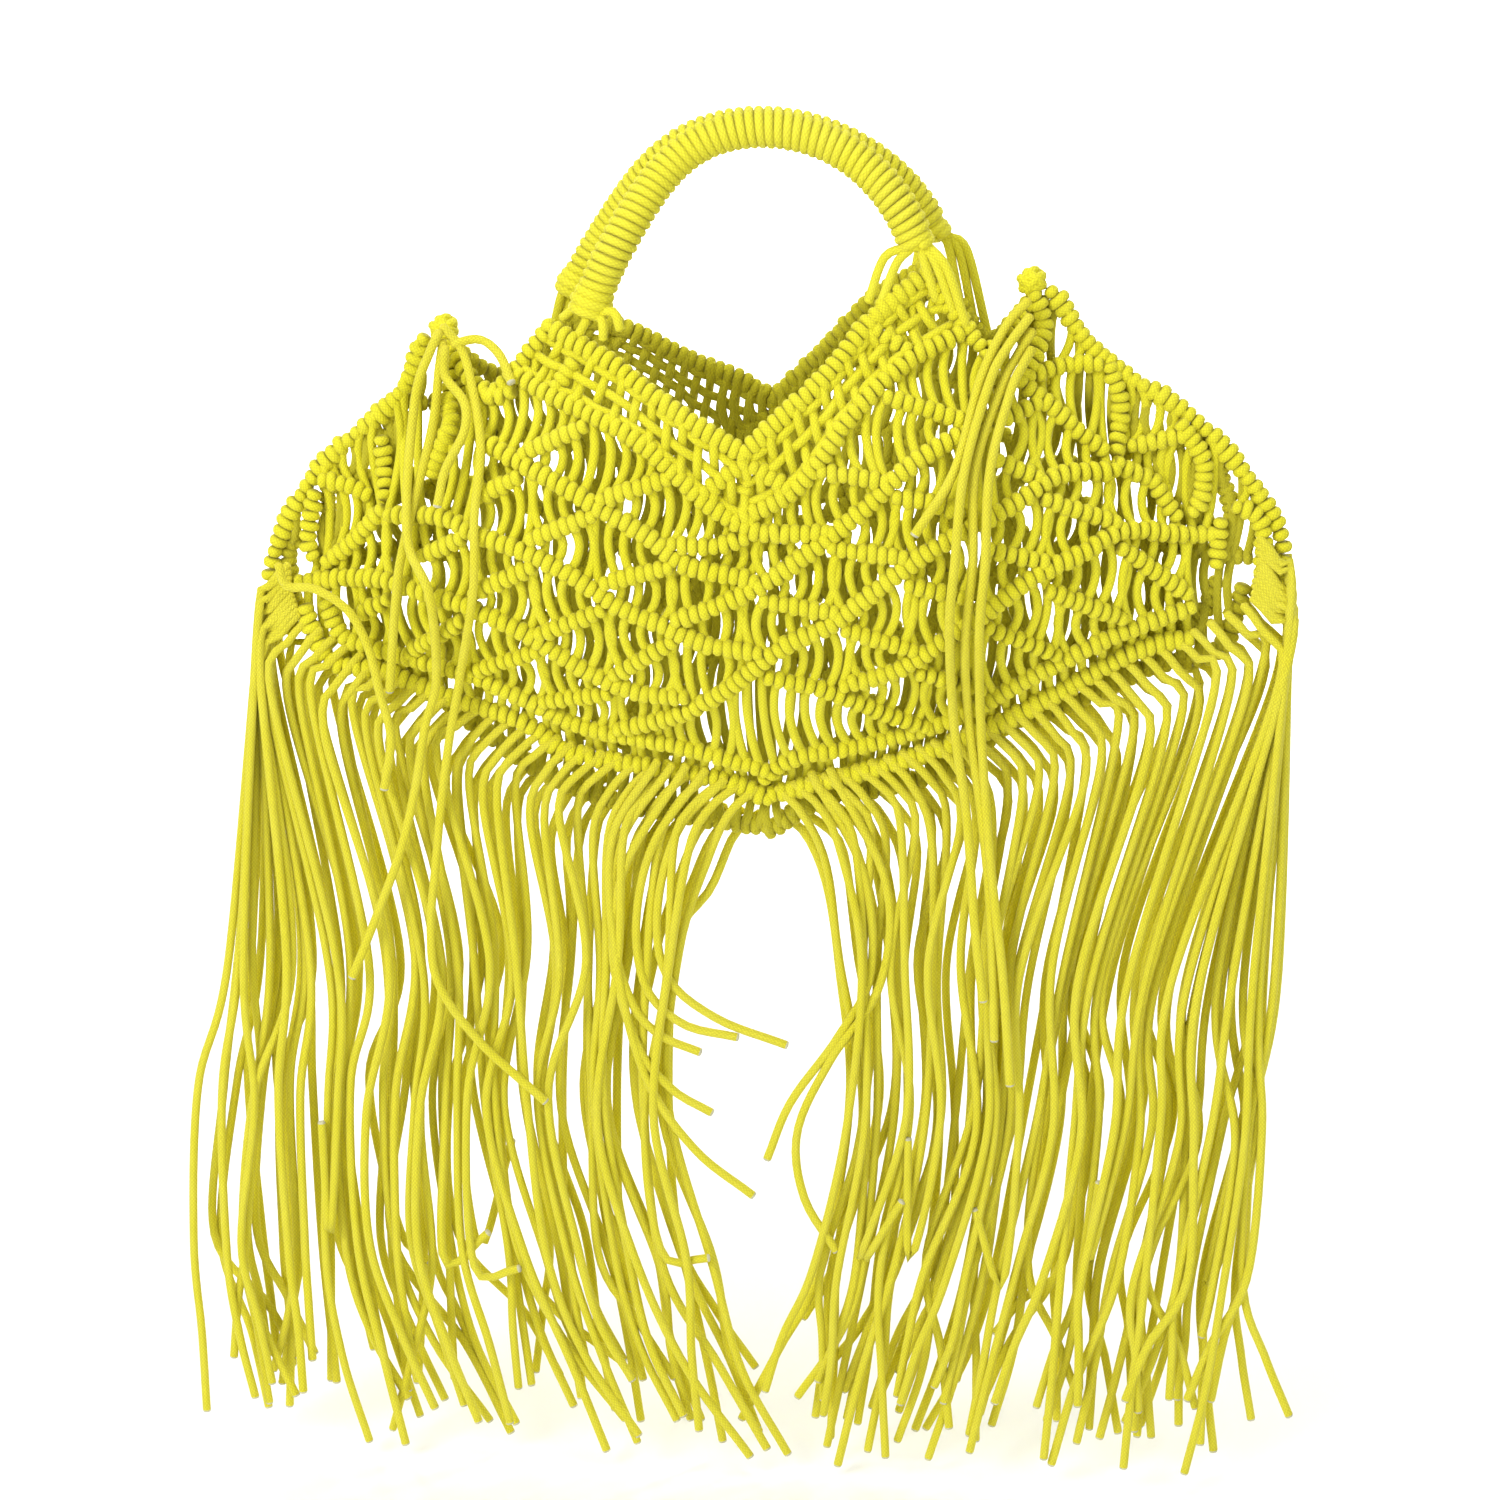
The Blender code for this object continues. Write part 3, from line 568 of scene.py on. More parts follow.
shortRibsRight = (
    ((1.25, 0.340), (1.90, 0.492)),
    ((2.16, 0.501), (2.56, 0.583), (2.90, 0.620)),
    ((2.14, 0.263), (2.85, 0.452)),
    ((3.17, 0.434), (3.65, 0.506)),
    ((2.28, 0.044), (2.92, 0.243)),
    ((3.21, 0.256), (3.90, 0.360)),
    ((4.24, 0.358), (4.54, 0.419), (4.81, 0.462)),
    ((3.32, 0.043), (3.82, 0.153), (4.45, 0.247), (4.99, 0.339)),
    ((3.41, 0.612), (3.88, 0.667)),
    ((4.15, 0.515), (4.81, 0.615)),
    ((2.80, 0.757), (3.23, 0.778)),
    ((3.43, 0.756), (4.05, 0.803)),
    ((4.28, 0.794), (4.97, 0.852)),
    ((4.17, 0.648), (4.83, 0.742)),
    ((1.14, 0.669), (1.63, 0.736), (2.24, 0.788)),
)
sideRibsLeft = (
    ((3.37, -0.978), (3.73, -0.897)),
    ((4.03, -1.001), (3.92, -0.964), (3.86, -0.922)),
    ((4.20, -1.004), (4.62, -0.976), (4.72, -0.958)),
    ((3.85, -0.881), (4.29, -0.895), (4.69, -0.929)),
    ((2.37, -1.007), (2.61, -0.938), (2.98, -0.880), (3.18, -0.858)),
)
sideRibsRight = (
    ((2.47, 0.933), (2.92, 0.899), (3.21, 0.888), (3.50, 0.886)),
    ((2.50, 0.954), (2.75, 0.993), (3.01, 1.008)),
    ((3.10, 1.015), (3.36, 0.969), (3.60, 0.898)),
    ((3.68, 0.918), (3.91, 0.985)),
    ((3.84, 1.001), (4.17, 0.984), (4.40, 0.946), (4.44, 0.924)),
    ((3.69, 0.882), (3.85, 0.883), (4.02, 0.893), (4.18, 0.894), (4.38, 0.897)),
    ((4.63, 0.986), (4.77, 1.003), (4.93, 0.996), (5.75, 1.004)),
    ((4.65, 0.951), (4.91, 0.912)),
    ((-0.43, 0.741), (-0.24, 1.021)),
    ((-0.08, 1.017), (0.69, 1.030), (1.80, 1.003)),
    ((-0.16, 0.737), (0.66, 0.809)),
)

# knots of the two shoulder tabs, x and z in mm
tabRibs = (
    ((-130, -82), (-127, -90), (-127, -103), (-125, -112), (-129, -121), (-132, -129)),
    ((-127, -84), (-121, -90), (-114, -96), (-106, -99), (-99, -97)),
    ((111, -58), (114, -64), (115, -72), (112, -81), (108, -88)),
    ((108, -62), (103, -70), (98, -76), (92, -80)),
)


def tracedRib(table, side, step):
    # rib in the bag's own rows and shares, cut into even steps and laid on the net
    flip = 1 if side < 0 else -1
    flat = smoothPath([netPoint(row, across * flip, side) for row, across in table], step)
    path = np.array([onBag(x, z, side) for x, z in flat])
    normals = np.array([bagNormal(x, z, side) for x, z in flat])
    return path, normals


net = {
    "station": {-1: 0.0061, 1: 0.0049},     # between two upright cords, front and back
    "cord": 0.0039,
    "sides": 7,
    "shortest": 0.0085,     # gaps smaller than this show no cord
    "bulge": 0.18,          # of a cord's length, sideways
    "longest": 0.022,       # no more bulge than for this length
    "course": ((0.0, 0.0), (0.18, 0.62), (0.42, 1.0), (0.68, 0.86), (0.88, 0.42), (1.0, 0.05)),   # down, bulge
    "behind": 0.0012,       # a cord's ends behind the ribs
    "sink": 0.0022,         # and its middle behind its ends
    "uprightStep": 0.0034,
    "weaveRows": {-1: (0.20, 0.52, 0.84), 1: (0.13, 0.37, 0.61, 0.86)},
    "weaveStation": {-1: 0.0064, 1: 0.0054},
    "weaveRise": 0.0021,
    "weaveStep": 0.0031,
    "shortRib": (0.0080, 0.0071),       # width and depth
    "tabRib": 0.0084,
    "edgeRib": (0.0092, 0.0080),
}


def crossHeights(x, ribs):
    found = []
    for kind, path in ribs:
        xs, zs = path[:, 0], path[:, 2]
        for index in np.nonzero((xs[:-1] - x) * (xs[1:] - x) <= 0)[0]:
            if abs(xs[index + 1] - xs[index]) > 1e-9:
                share = (x - xs[index]) / (xs[index + 1] - xs[index])
                found.append((zs[index] + (zs[index + 1] - zs[index]) * share, kind))
    found.sort(reverse=True)
    return found


def addUprights(store, side, ribs):
    left = min(path[:, 0].min() for kind, path in ribs)
    right = max(path[:, 0].max() for kind, path in ribs)
    station = net["station"][side]
    count = int((right - left) / station)
    for number in range(1, count):
        x = left + (number + dice.uniform(-0.12, 0.12)) * station
        found = crossHeights(x, ribs)
        for (top, upper), (bottom, lower) in zip(found, found[1:]):
            gap = top - bottom
            if gap < net["shortest"] or "rim" in (upper, lower) and "inner" in (upper, lower):
                continue
            way = -1 if upper == "long" and lower == "short" else 1
            if upper == lower:
                way = dice.choice((-1, 1)) * 0.6
            if x * -side > 0:
                way = -way
            swing = way * net["bulge"] * min(gap, net["longest"]) * dice.uniform(0.8, 1.15)
            slip = -way * 0.10 * gap * dice.uniform(0.6, 1.2)
            sink = net["sink"] + dice.uniform(-0.0006, 0.0006)
            stops = []
            for share, out in net["course"]:
                px = x - slip / 2 + slip * share + swing * out
                deep = net["behind"] + sink * math.sin(math.pi * share)
                stops.append(onBag(px, top - gap * share, side, bag["lift"] - deep))
            thick = net["cord"] * dice.uniform(0.95, 1.05)
            addCord(store, smoothPath(stops, net["uprightStep"]), thick, net["sides"], outward=side)


def addWeave(store, side, half, top, bottom):
    # basket weave between the neck rim and the rib below it
    a = smoothPath(top[:, (0, 2)], 0.0016)
    b = smoothPath(bottom[:, (0, 2)], 0.0016)
    b = b[b[:, 0] * half > -0.003]      # its own half only
    if (a[0, 0] - a[-1, 0]) * (b[0, 0] - b[-1, 0]) < 0:
        b = b[::-1]
    length = np.linalg.norm(np.diff(a, axis=0), axis=1).sum()
    shares = np.linspace(0, 1, max(2, int(length / net["weaveStation"][side])))

    def between(share, down):
        p = np.array([np.interp(share, np.linspace(0, 1, len(a)), a[:, axis]) for axis in (0, 1)])
        q = np.array([np.interp(share, np.linspace(0, 1, len(b)), b[:, axis]) for axis in (0, 1)])
        return p + (q - p) * down

    for row, down in enumerate(net["weaveRows"][side]):
        stops = []
        for number, share in enumerate(shares):
            x, z = between(share, down + dice.uniform(-0.03, 0.03))
            over = net["weaveRise"] * (1 if (number + row) % 2 else -1)
            stops.append(onBag(x, z, side, bag["lift"] + over * 0.6 - 0.0010))
        addCord(store, smoothPath(stops, net["weaveStep"]), cord["thick"], net["sides"], outward=side)
    for number, share in enumerate(shares[:-1]):
        stops = []
        for row, down in enumerate((-0.08, *net["weaveRows"][side], 1.08)):
            x, z = between(min(share + 0.02 * (down - 0.5), 1.0), down)
            over = net["weaveRise"] * (-1 if (number + row - 1) % 2 else 1)
            if down < 0 or down > 1:    # tucked in behind the ribs
                over = 0.0
            stops.append(onBag(x, z, side, bag["lift"] + over - 0.0010))
        addCord(store, smoothPath(stops, net["weaveStep"]), cord["thick"], net["sides"], outward=side)


def makeNet(name, side, node):
    store = newStore()
    ribs = []
    pitch = cord["beadPitch"]
    for word, table in longRibs.items():
        path, normals = tracedRib(table, side, pitch)
        addRib(store, path, normals)
        ribs.append(("inner" if "neck" in word else "long", path))
    for group in (shortRibsLeft, shortRibsRight, sideRibsLeft, sideRibsRight):
        for table in group:
            path, normals = tracedRib(table, side, pitch)
            addRib(store, path, normals, *net["shortRib"])
            ribs.append(("short", path))
    for table in tabRibs:
        flat = smoothPath([(x / 1000, z / 1000) for x, z in table], pitch)
        path = np.array([onBag(x, z, side) for x, z in flat])
        addRib(store, path, np.array([bagNormal(x, z, side) for x, z in flat]), net["tabRib"])
        ribs.append(("short", path))
    rims = [tracedRib(table, side, pitch)[0] for table in neckRimRibs]
    hems = [tracedRib(table, side, pitch)[0] for table in hemRibs]
    inners = [path for kind, path in ribs if kind == "inner"]
    for half, rim, inner in zip((side, -side), rims, inners):
        addWeave(store, side, half, rim, inner)
    addUprights(store, side, ribs + [("rim", rim) for rim in rims] + [("long", hem) for hem in hems]
                + [("long", path) for path in seams.values()])
    makePiece(name, store, [knottedCord], node)


makeNet("front_net_knots", -1, "front_net")
makeNet("back_net_knots", 1, "back_net")


# ribs along the neck and the hem

def makeEdge(name, side, tables, node, middleLift):
    store = newStore()
    for table in tables:
        path, normals = tracedRib(table, side, cord["beadPitch"])
        path[:, 1] += side * middleLift
        addRib(store, path, normals, *net["edgeRib"])
    makePiece(name, store, [knottedCord], node)


for word, side in (("front", -1), ("back", 1)):
    makeEdge(word + "_neck_ribs", side, neckRimRibs, word + "_neck_rim", 0.0)
    makeEdge(word + "_hem_ribs", side, hemRibs, word + "_hem", 0.0008)


for word, path in seams.items():
    makeSeam(word + "_seam_knots", path, word + "_side_seam")
print("net, rims, hems and seams made")


# handles: an arch of cord wound close over a core

handle = {
    "radius": {-1: 0.0655, 1: 0.077},
    "centre": {-1: 0.002, 1: 0.0},
    "half": 0.008,
    "winding": 0.0041,      # thickness of the wound cord
    "pitch": 0.0037,
    "upright": 0.15,
    "stepsPerTurn": 18,
    "squeeze": 0.0065,      # the left limb is drawn in half way up
}
tie = {
    "foot": 0.006, "rimRadius": 0.0038, "rimOut": 0.0026, "gap": 0.0020,
    "cord": 0.0038, "step": 0.0028,
    "knot": {"front_left": 0.0095, "front_right": 0.003, "back_left": 0.008, "back_right": 0.003},
    "fatFrom": 0.005,                       # a longer knot has fat turns
    "fat": (0.0082, 2.6, 0.0048, 1.6),      # outer radius, turns, thickness, swell
    "slim": (0.0074, 1.2, 0.0042, 0.4),
    "fanLift": (0.0045, 0.0032),            # middle and end of a fan cord outside the net
    "fanLayer": 0.0006,                     # each cord a little over the last
}


def archPath(side):
    radius, centreX, half = handle["radius"][side], handle["centre"][side], handle["half"]
    centreZ = half - radius
    rimEnds = []
    for across in (-1, 1):
        x, z = rowPoint(0, across, side)
        y = side * (halfDepth(x, z, side) + tie["rimOut"])
        height = z + tie["rimRadius"] + half + tie["rimRadius"] + tie["foot"] - centreZ
        rimEnds.append((math.asin(max(-0.6, min(0.6, height / radius))), y))
    (leftAngle, leftY), (rightAngle, rightY) = rimEnds
    points = []
    for angle in np.linspace(math.pi - leftAngle, rightAngle, 90):
        z = centreZ + radius * math.sin(angle)
        endY = leftY if angle > math.pi / 2 else rightY
        low = centreZ + radius * math.sin(leftAngle if angle > math.pi / 2 else rightAngle)
        lean = smoothStep(((z - low) / (half - low) - handle["upright"]) / (1 - handle["upright"]))
        squeeze = handle["squeeze"] * math.sin(math.pi * (z - low) / (half - low)) if angle > math.pi / 2 else 0.0
        points.append((centreX + radius * math.cos(angle) + squeeze, endY + (side * half - endY) * lean, z))
    return np.array(points)


arches = {side: archPath(side) for side in (-1, 1)}


def addWinding(store, path, outer, winding, pitch):
    # close helix of cord round a path, over a core that shuts the gaps
    length = np.linalg.norm(np.diff(path, axis=0), axis=1).sum()
    count = int(length / pitch * handle["stepsPerTurn"])
    fine = smoothPath(path, length / count)
    tangents, firsts, seconds = pathFrames(fine)
    turn = 2 * math.pi * np.arange(len(fine)) / handle["stepsPerTurn"]
    wobble = 1 + 0.012 * np.sin(turn * 0.37 + 1.1) + dice.normal(0, 0.004, len(fine))
    reach = (outer - winding / 2) * wobble[:, None]
    helix = fine + reach * (np.cos(turn)[:, None] * firsts + np.sin(turn)[:, None] * seconds)
    addCord(store, helix, winding, grooves=tangents)
    addCord(store, smoothPath(path, 0.004), (outer - winding * 0.45) * 2, 12)


for word, side in (("front", -1), ("back", 1)):
    store = newStore()
    addWinding(store, arches[side], handle["half"], handle["winding"], handle["pitch"])
    makePiece(word + "_handle_winding", store, [woundCord], word + "_handle")


# ties: a knot of coils below each handle end, and the cords that fan out of it to the rim

fans = {
    # each cord by its middle and its end on the rim, x and z in mm from the end of the winding
    "front_left": (((-6, -6), (-15, -13)), ((-4, -12), (-8, -20)), ((2, -12), (3, -20)), ((7, -9), (10, -16))),
    "front_right": (((-11, -9), (-17, -26)), ((-6, -11), (-12, -27)), ((5, -11), (10, -26)), ((10, -12), (17, -31)),
                    ((14, -13), (22, -36))),
    "back_left": (((-9, -9), (-14, -27)), ((-6, -11), (-10, -24)), ((4, -9), (8, -18))),
    "back_right": (((8, -10), (14, -40)), ((12, -11), (19, -43)), ((15, -10), (24, -44)), ((-4, -9), (-6, -18))),
}


def addCoils(store, start, end, outer, turns, thick, swell):
    # a few fat turns between two points
    along = end - start
    length = np.linalg.norm(along)
    along /= length
    first = np.cross(along, (0.0, 1.0, 0.0))
    first /= np.linalg.norm(first)
    second = np.cross(along, first)
    angle = np.linspace(0, 2 * math.pi * turns, int(turns * 18))
    share = np.linspace(0, 1, len(angle))
    reach = (outer - thick / 2) * (1 + 0.10 * swell * np.sin(math.pi * share))
    path = start + along * (share * length)[:, None] + reach[:, None] * (
        np.cos(angle)[:, None] * first + np.sin(angle)[:, None] * second)
    addCord(store, path, thick)
    addCord(store, smoothPath(np.array((start, end)), 0.003), (outer - thick * 0.6) * 2, 12)


def makeTie(name, side, end, key, node):
    store = newStore()
    arch = arches[side]
    tip, before = (arch[0], arch[4]) if end < 0 else (arch[-1], arch[-5])
    run = (tip - before) / np.linalg.norm(tip - before)
    start = tip + run * tie["gap"]
    knotEnd = start + run * tie["knot"][key]
    addCoils(store, start, knotEnd, *tie["fat" if tie["knot"][key] > tie["fatFrom"] else "slim"])
    for index, ((midX, midZ), (endX, endZ)) in enumerate(fans[key]):
        stops = [tip + np.array((endX * 0.0001, side * 0.0015, 0.0)),
                 knotEnd + np.array((midX * 0.0003, side * 0.002, 0.0))]
        for x, z, lift in ((midX, midZ, tie["fanLift"][0]), (endX, endZ, tie["fanLift"][1])):
            px, pz = tip[0] + x / 1000, tip[2] + z / 1000
            deep = halfDepth(px, pz, side) if pz < -0.050 else abs(tip[1]) - 0.003
            stops.append(np.array((px, side * (deep + lift + tie["fanLayer"] * index), pz)))
        addCord(store, smoothPath(stops, tie["step"]), tie["cord"])
    makePiece(name, store, [woundCord], node)


for word, side in (("front", -1), ("back", 1)):
    for hand, end in (("left", -1), ("right", 1)):
        makeTie(word + "_" + hand + "_tie_cords", side, end, word + "_" + hand, word + "_" + hand + "_tie")


# shoulder knots and the loose tails that hang from them, x and z in mm

shoulders = {
    "left": {"peak": bag["leftPeak"], "tails": (
        ((-128, -72), (-120, -82), (-114, -100), (-110, -119), (-112, -146), (-113, -176), (-123, -217),
         (-129, -245), (-133, -272), (-136, -299), (-139, -330), (-136, -354), (-119, -379), (-91, -405)),
        ((-129, -74), (-133, -82), (-140, -103), (-142, -155), (-132, -179), (-133, -218), (-139, -240),
         (-144, -268), (-151, -295), (-162, -324), (-173, -351)),
        ((-128, -78), (-130, -90), (-133, -114), (-144, -160), (-148, -181), (-154, -225)),
        ((-127, -80), (-127, -92), (-118, -101), (-117, -112), (-125, -128), (-128, -142)),
        ((-124, -79), (-113, -77), (-104, -82), (-98, -92)),
        ((-199, -172), (-196, -181), (-184, -182), (-170, -191), (-162, -207), (-158, -225), (-154, -241),
         (-154, -251), (-157, -267)),
    )},
    "right": {"peak": bag["rightPeak"], "tails": (
        ((109, -58), (100, -69), (91, -88), (82, -122), (67, -147)),
        ((110, -64), (102, -75), (95, -88), (86, -122), (83, -158), (81, -185), (82, -231), (88, -273), (92, -320),
         (96, -352)),
        ((111, -70), (105, -80), (99, -92), (90, -122), (90, -158), (87, -195), (88, -231), (94, -273), (98, -310),
         (101, -370)),
        ((111, -77), (107, -84), (103, -93), (96, -122), (95, -158), (93, -185), (93, -231), (98, -291),
         (104, -340), (108, -389)),
    )},
}
shoulderKnot = {
    "above": 0.0066, "halfLength": 0.0030,
    "coils": ((0.0, 0.0), (0.9, 0.4), (-0.8, 1.3)),     # lean and turn of each coil, in radians
    "turns": (0.0058, 1.7, 0.0040, 0.8),                # outer radius, turns, thickness, swell
    "tailClear": (0.0058, 0.0094),                      # every other tail lies over its neighbour
    "tailStep": 0.0032,
}


def inFront(x, z, clear):
    # a place in front of the front net, its hem and the fringe
    reach = halfDepth(x, z, -1) + 0.0035 if z > rowPoint(6, 0, -1)[1] + 0.01 else 0.0
    return -max(reach + clear, 0.0135 + clear * 0.5)


def makeShoulder(word, node, tasselNode):
    values = shoulders[word]
    x, z = values["peak"][0] * bag["halfWidth"], -values["peak"][1] * bag["height"]
    middle = np.array((x, 0.0, z + shoulderKnot["above"]))
    store = newStore()
    for lean, turnAway in shoulderKnot["coils"]:
        along = np.array((math.sin(lean), math.sin(turnAway) * 0.5, math.cos(lean)))
        along /= np.linalg.norm(along)
        reach = along * shoulderKnot["halfLength"]
        addCoils(store, middle - reach, middle + reach, *shoulderKnot["turns"])
    makePiece(word + "_shoulder_knot_coils", store, [knottedCord], node)
    store = newStore()
    for index, tail in enumerate(values["tails"]):
        clear = shoulderKnot["tailClear"][index % 2]
        stops = [(px / 1000, inFront(px / 1000, pz / 1000, clear), pz / 1000) for px, pz in tail]
        addCord(store, smoothPath(stops, shoulderKnot["tailStep"]), cord["thick"] * 1.02, cut=(False, True))
    makePiece(word + "_shoulder_tails", store, [looseCord, cutCore], tasselNode)


for word in shoulders:
    makeShoulder(word, word + "_shoulder_knot", word + "_shoulder_tassel")
print("handles, ties and shoulders made")


# fringe: loose strands knotted in under the hem, x and drop as shares like the bag's own rows

fringe = {
    "strands": 40,
    "rows": (               # drop, left inner x, left outer x, right inner x, right outer x
        (1.250, -0.175, -1.120, 0.170, 1.065),
        (1.486, -0.205, -1.160, 0.190, 1.055),
        (1.739, -0.130, -1.190, 0.125, 1.010),
    ),
    "ends": (0.020, -1.150, 0.050, 0.990),
    "endDrop": (1.93, 2.08),
    "start": (0.022, 0.985),
    "throw": (0.022, 0.013),    # how far a strand swings out below the hem, at the middle and at the side
    "throwDrop": 0.016,
    "swing": 0.0085,
    "nearest": 0.0026,          # strand's middle from the middle of the bag
    "farthest": 0.0106,
    "layers": 4,
    "seamRows": (5.45, 4.9),    # the outermost strands start on the side seam
    "root": 0.0055,             # start of a strand from the middle of the bag
    "deepest": (0.0023, 0.0114),
    "shortShare": 0.12,         # strands that end early, and by how much
    "shortBy": (0.03, 0.16),
    "step": 0.0062,
    "sides": 7,
}


# strands of the front that stray into the opening, x and z in mm
strays = {
    -1: (
        ((-14, -262), (-34, -285), (-43, -320), (-39, -350), (-18, -368), (12, -379)),
        ((-22, -258), (-44, -290), (-52, -325), (-48, -355), (-32, -371), (-9, -376)),
        ((-36, -256), (-58, -290), (-62, -330), (-54, -362), (-42, -376), (-25, -383)),
        ((-30, -256), (-56, -300), (-62, -340), (-52, -380), (-37, -400), (-20, -410)),
        ((-42, -254), (-62, -290), (-60, -345), (-48, -395), (-27, -427), (-2, -447)),
    ),
    1: (
        ((22, -258), (44, -300), (48, -345), (34, -375), (14, -405), (4, -431)),
        ((30, -256), (54, -305), (52, -350), (31, -385), (17, -418), (20, -448), (34, -472)),
    ),
}


def makeFringe(name, side, half, node):
    store = newStore()
    hem = hemLines[side]
    line = hem[6::-1] if half < 0 else hem[6:]
    line = np.vstack((line, [netPoint(row, half, side) for row in fringe["seamRows"]]))
    marks = np.linspace(0, 1, len(line))
    inner, outer = (1, 2) if half < 0 else (3, 4)
    innerEnd, outerEnd = (0, 1) if half < 0 else (2, 3)
    for number, spread in enumerate(np.linspace(0, 1, fringe["strands"])):
        loose = spread + dice.uniform(-0.8, 0.8) / fringe["strands"]
        share = fringe["start"][0] + (fringe["start"][1] - fringe["start"][0]) * spread
        x = float(np.interp(share, marks, line[:, 0]))
        z = float(np.interp(share, marks, line[:, 1])) - 0.0030
        layer = number * 3 % fringe["layers"] / (fringe["layers"] - 1)
        y = fringe["nearest"] + (fringe["farthest"] - fringe["nearest"]) * layer
        reach = fringe["throw"][0] + (fringe["throw"][1] - fringe["throw"][0]) * spread
        fall = fringe["throwDrop"] * dice.uniform(0.8, 1.5)
        stops = [(x - half * 0.002, side * fringe["root"], z + 0.002),
                 (x + half * reach * 0.42, side * (fringe["root"] + 0.0020), z - fall * 0.38),
                 (x + half * reach * 0.85, side * y, z - fall * 1.35)]
        wave = dice.uniform(0, 2 * math.pi)
        sway = dice.uniform(0.15, 1.0) * fringe["swing"]
        for level, row in enumerate(fringe["rows"]):
            px = (row[inner] + (row[outer] - row[inner]) * loose) * bag["halfWidth"]
            px += sway * math.sin(wave + level * 1.7)
            pz = -row[0] * bag["height"] + dice.uniform(-0.006, 0.006)
            if pz > stops[-1][2] - 0.020:
                continue
            stops.append((px, side * float(np.clip(y + dice.uniform(-0.0018, 0.0018), *fringe["deepest"])), pz))
        firstEnd, lastEnd = fringe["ends"][innerEnd], fringe["ends"][outerEnd]
        endX = (firstEnd + (lastEnd - firstEnd) * loose) * bag["halfWidth"] + dice.normal(0, 0.013)
        endZ = -dice.uniform(*fringe["endDrop"]) * bag["height"]
        if dice.uniform() < fringe["shortShare"]:
            endZ += dice.uniform(*fringe["shortBy"])
        lastX, lastY, lastZ = stops[-1]
        if endZ < lastZ - 0.03:
            stops.append((lastX + (endX - lastX) * dice.uniform(0.35, 0.65), lastY, lastZ + (endZ - lastZ) * 0.55))
        stops.append((endX, side * (y + dice.uniform(-0.001, 0.001)), endZ))
        addCord(store, smoothPath(stops, fringe["step"]), cord["thick"] * dice.uniform(0.94, 1.04), fringe["sides"],
                cut=(False, True))
    for index, stray in enumerate(strays[half] if side < 0 else ()):
        stops = [(x / 1000, -0.0070 - 0.0008 * index, z / 1000) for x, z in stray]
        addCord(store, smoothPath(stops, 0.0055), cord["thick"], fringe["sides"], cut=(False, True))
    makePiece(name, store, [looseCord, cutCore], node)


for word, side in (("front", -1), ("back", 1)):
    for hand, half in (("left", -1), ("right", 1)):
        makeFringe(word + "_" + hand + "_fringe_strands", side, half, word + "_" + hand + "_fringe")
print("fringe made")


# floor, light and camera

stage = {"floor": -0.580, "far": 3.2, "near": -5.0, "bend": 0.8, "bendSteps": 12, "wide": 5.0, "high": 5.0}


def makeStage():
    # seamless paper: a floor that curves up behind the bag
    mesh = bpy.data.meshes.new("paperSweep")
    work = bmesh.new()
    low = stage["floor"]
    profile = [(stage["near"], low), (stage["far"] - stage["bend"], low)]
    for step in range(1, stage["bendSteps"] + 1):
        angle = math.pi / 2 * step / stage["bendSteps"]
        profile.append((stage["far"] - stage["bend"] + stage["bend"] * math.sin(angle),
                        low + stage["bend"] * (1 - math.cos(angle))))
    profile.append((stage["far"], low + stage["high"]))
    verts = [work.verts.new((-stage["wide"], y, z)) for y, z in profile]
    edges = [work.edges.new(pair) for pair in zip(verts, verts[1:])]
    grown = bmesh.ops.extrude_edge_only(work, edges=edges)
    newVerts = [item for item in grown["geom"] if isinstance(item, bmesh.types.BMVert)]
    bmesh.ops.translate(work, verts=newVerts, vec=(2 * stage["wide"], 0, 0))
    bmesh.ops.recalc_face_normals(work, faces=work.faces)
    if work.faces[:][0].normal.z < 0:
        bmesh.ops.reverse_faces(work, faces=work.faces)
    for face in work.faces:
        face.smooth = True
    work.to_mesh(mesh)
    work.free()
    material, tree, shader = startMaterial("mattWhitePaper")
    grain = addNode(tree, "ShaderNodeTexNoise", values={"Scale": 900.0, "Detail": 2.0},
                    links={"Vector": addNode(tree, "ShaderNodeTexCoord").outputs["Object"]})
    bump = addNode(tree, "ShaderNodeBump", values={"Strength": 0.03, "Distance": 0.0003},
                   links={"Height": grain.outputs["Fac"]})
    tree.links.new(bump.outputs["Normal"], shader.inputs["Normal"])
    shader.inputs["Base Color"].default_value = hexColour("#FAFAFA")
    shader.inputs["Roughness"].default_value = 0.9
    mesh.materials.append(material)
    floor = bpy.data.objects.new("paper_sweep", mesh)
    bpy.context.scene.collection.objects.link(floor)


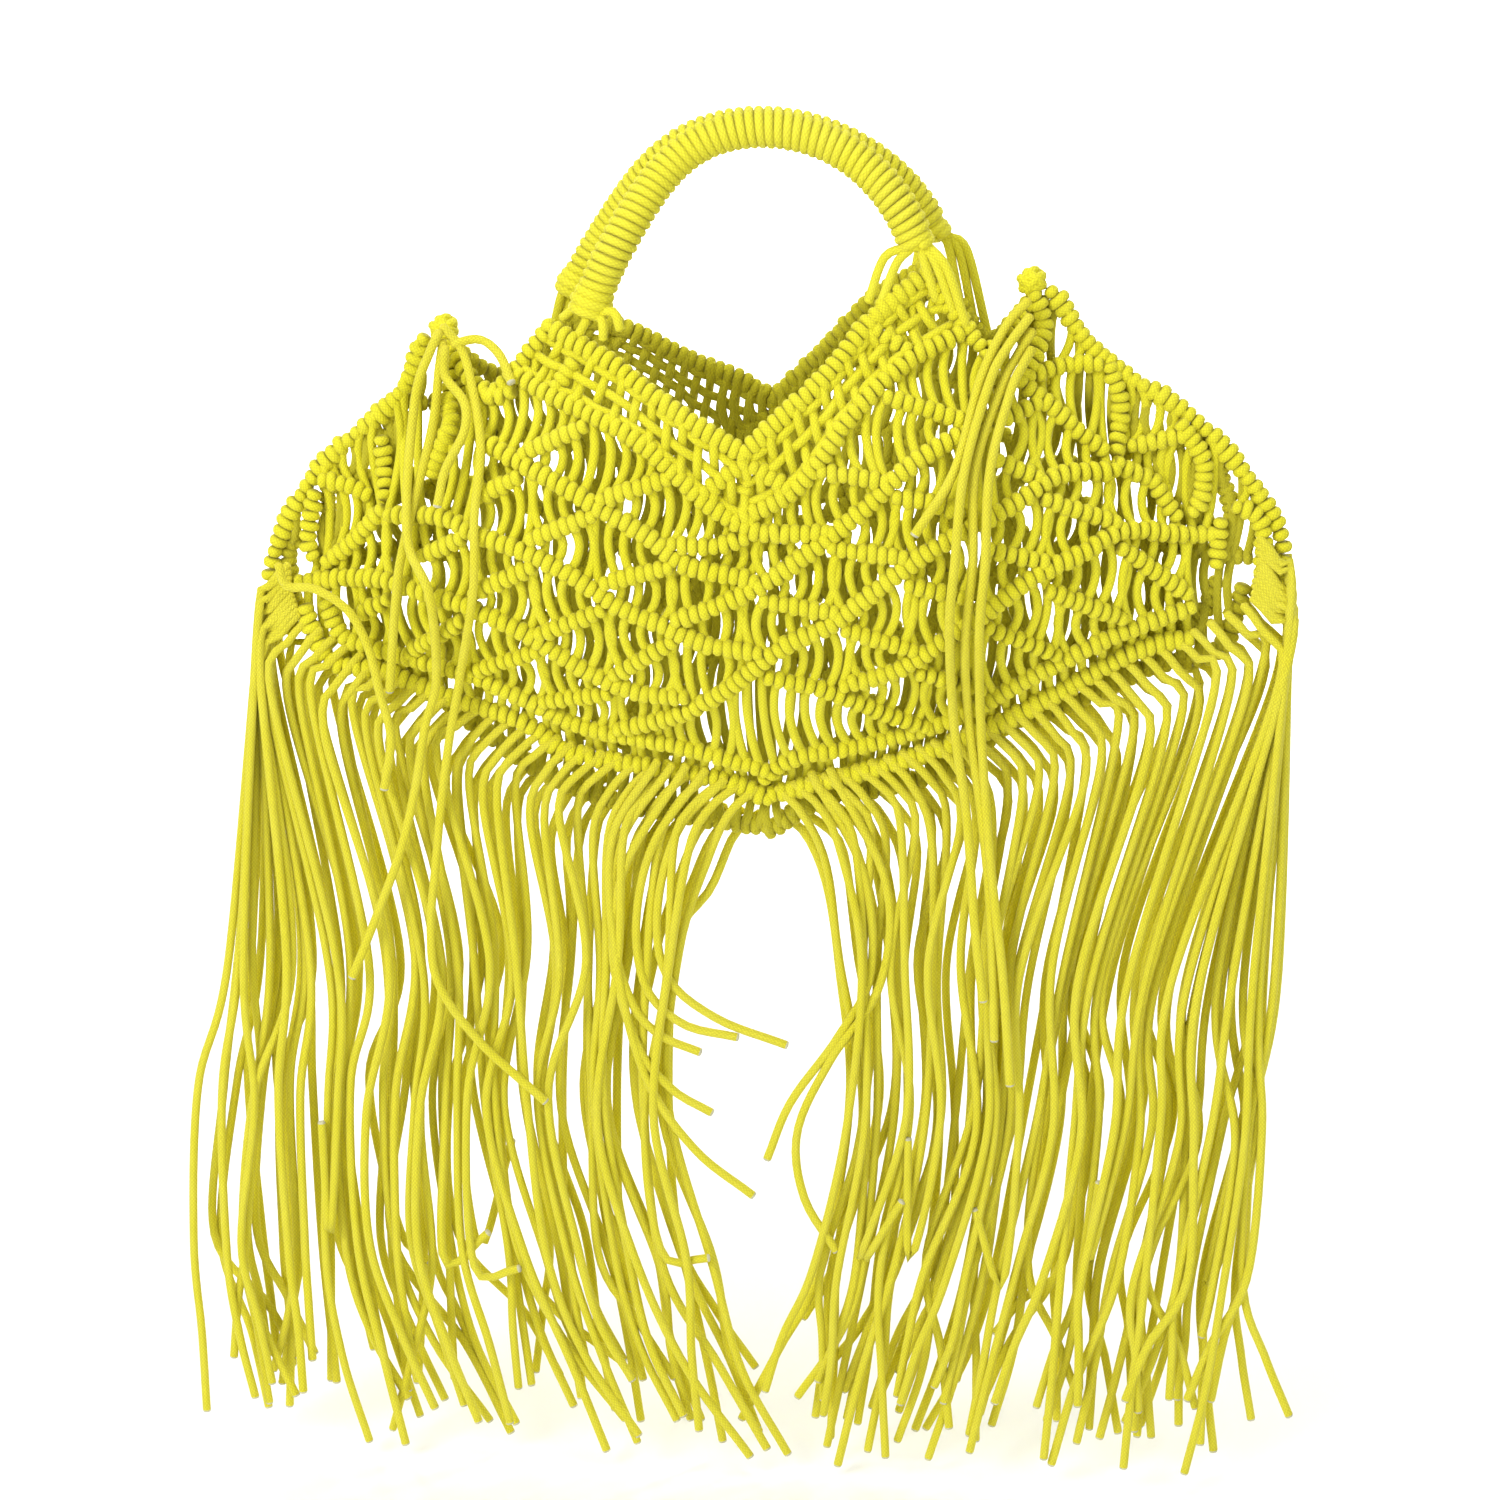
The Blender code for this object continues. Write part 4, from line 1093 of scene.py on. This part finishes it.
def addSoftLight(name, place, aim, size, power):
    data = bpy.data.lights.new(name, "AREA")
    data.shape = "RECTANGLE"
    data.size, data.size_y = size
    data.energy = power
    light = bpy.data.objects.new(name, data)
    light.location = place
    direction = mathutils.Vector(aim) - mathutils.Vector(place)
    light.rotation_euler = direction.to_track_quat("-Z", "Y").to_euler()
    bpy.context.scene.collection.objects.link(light)


makeStage()
bagMiddle = (0.0, 0.0, -0.28)
softLights = {
    # place, aim, width and height, watts
    "front_left_softbox": ((-1.2, -1.7, 0.9), bagMiddle, (1.0, 1.0), 32.5),
    "front_right_softbox": ((1.3, -1.6, 0.6), bagMiddle, (1.2, 1.2), 8.5),
    "top_softbox": ((0.0, -0.1, 1.6), bagMiddle, (1.4, 1.0), 13.5),
    "paper_light_left": ((-1.5, 2.1, 1.0), (-0.3, 3.2, -0.3), (1.2, 0.6), 58),
    "paper_light_right": ((1.5, 2.1, 1.0), (0.3, 3.2, -0.3), (1.2, 0.6), 58),
}
for name, (place, aim, size, power) in softLights.items():
    addSoftLight(name, place, aim, size, power)
world = bpy.context.scene.world or bpy.data.worlds.new("whiteRoom")
bpy.context.scene.world = world
world.use_nodes = True
background = next(node for node in world.node_tree.nodes if node.type == "BACKGROUND")
background.inputs["Color"].default_value = (1.0, 1.0, 1.0, 1.0)
background.inputs["Strength"].default_value = 0.39

camera = {"target": (-0.0042, 0.0, -0.251), "distance": 1.5, "azimuth": 6.0, "elevation": 15.0, "lens": 85.7}
turn, tilt = math.radians(camera["azimuth"]), math.radians(camera["elevation"])
away = mathutils.Vector((math.sin(turn) * math.cos(tilt), -math.cos(turn) * math.cos(tilt), math.sin(tilt)))
cameraData = bpy.data.cameras.new("photo_camera")
cameraData.lens = camera["lens"]
cameraData.sensor_width = 36.0
cameraData.sensor_fit = "HORIZONTAL"
photoCamera = bpy.data.objects.new("photo_camera", cameraData)
photoCamera.location = mathutils.Vector(camera["target"]) + away * camera["distance"]
photoCamera.rotation_euler = (-away).to_track_quat("-Z", "Y").to_euler()
bpy.context.scene.collection.objects.link(photoCamera)
bpy.context.scene.camera = photoCamera
bpy.context.scene.view_settings.view_transform = "Standard"
print("stage, light and camera made")
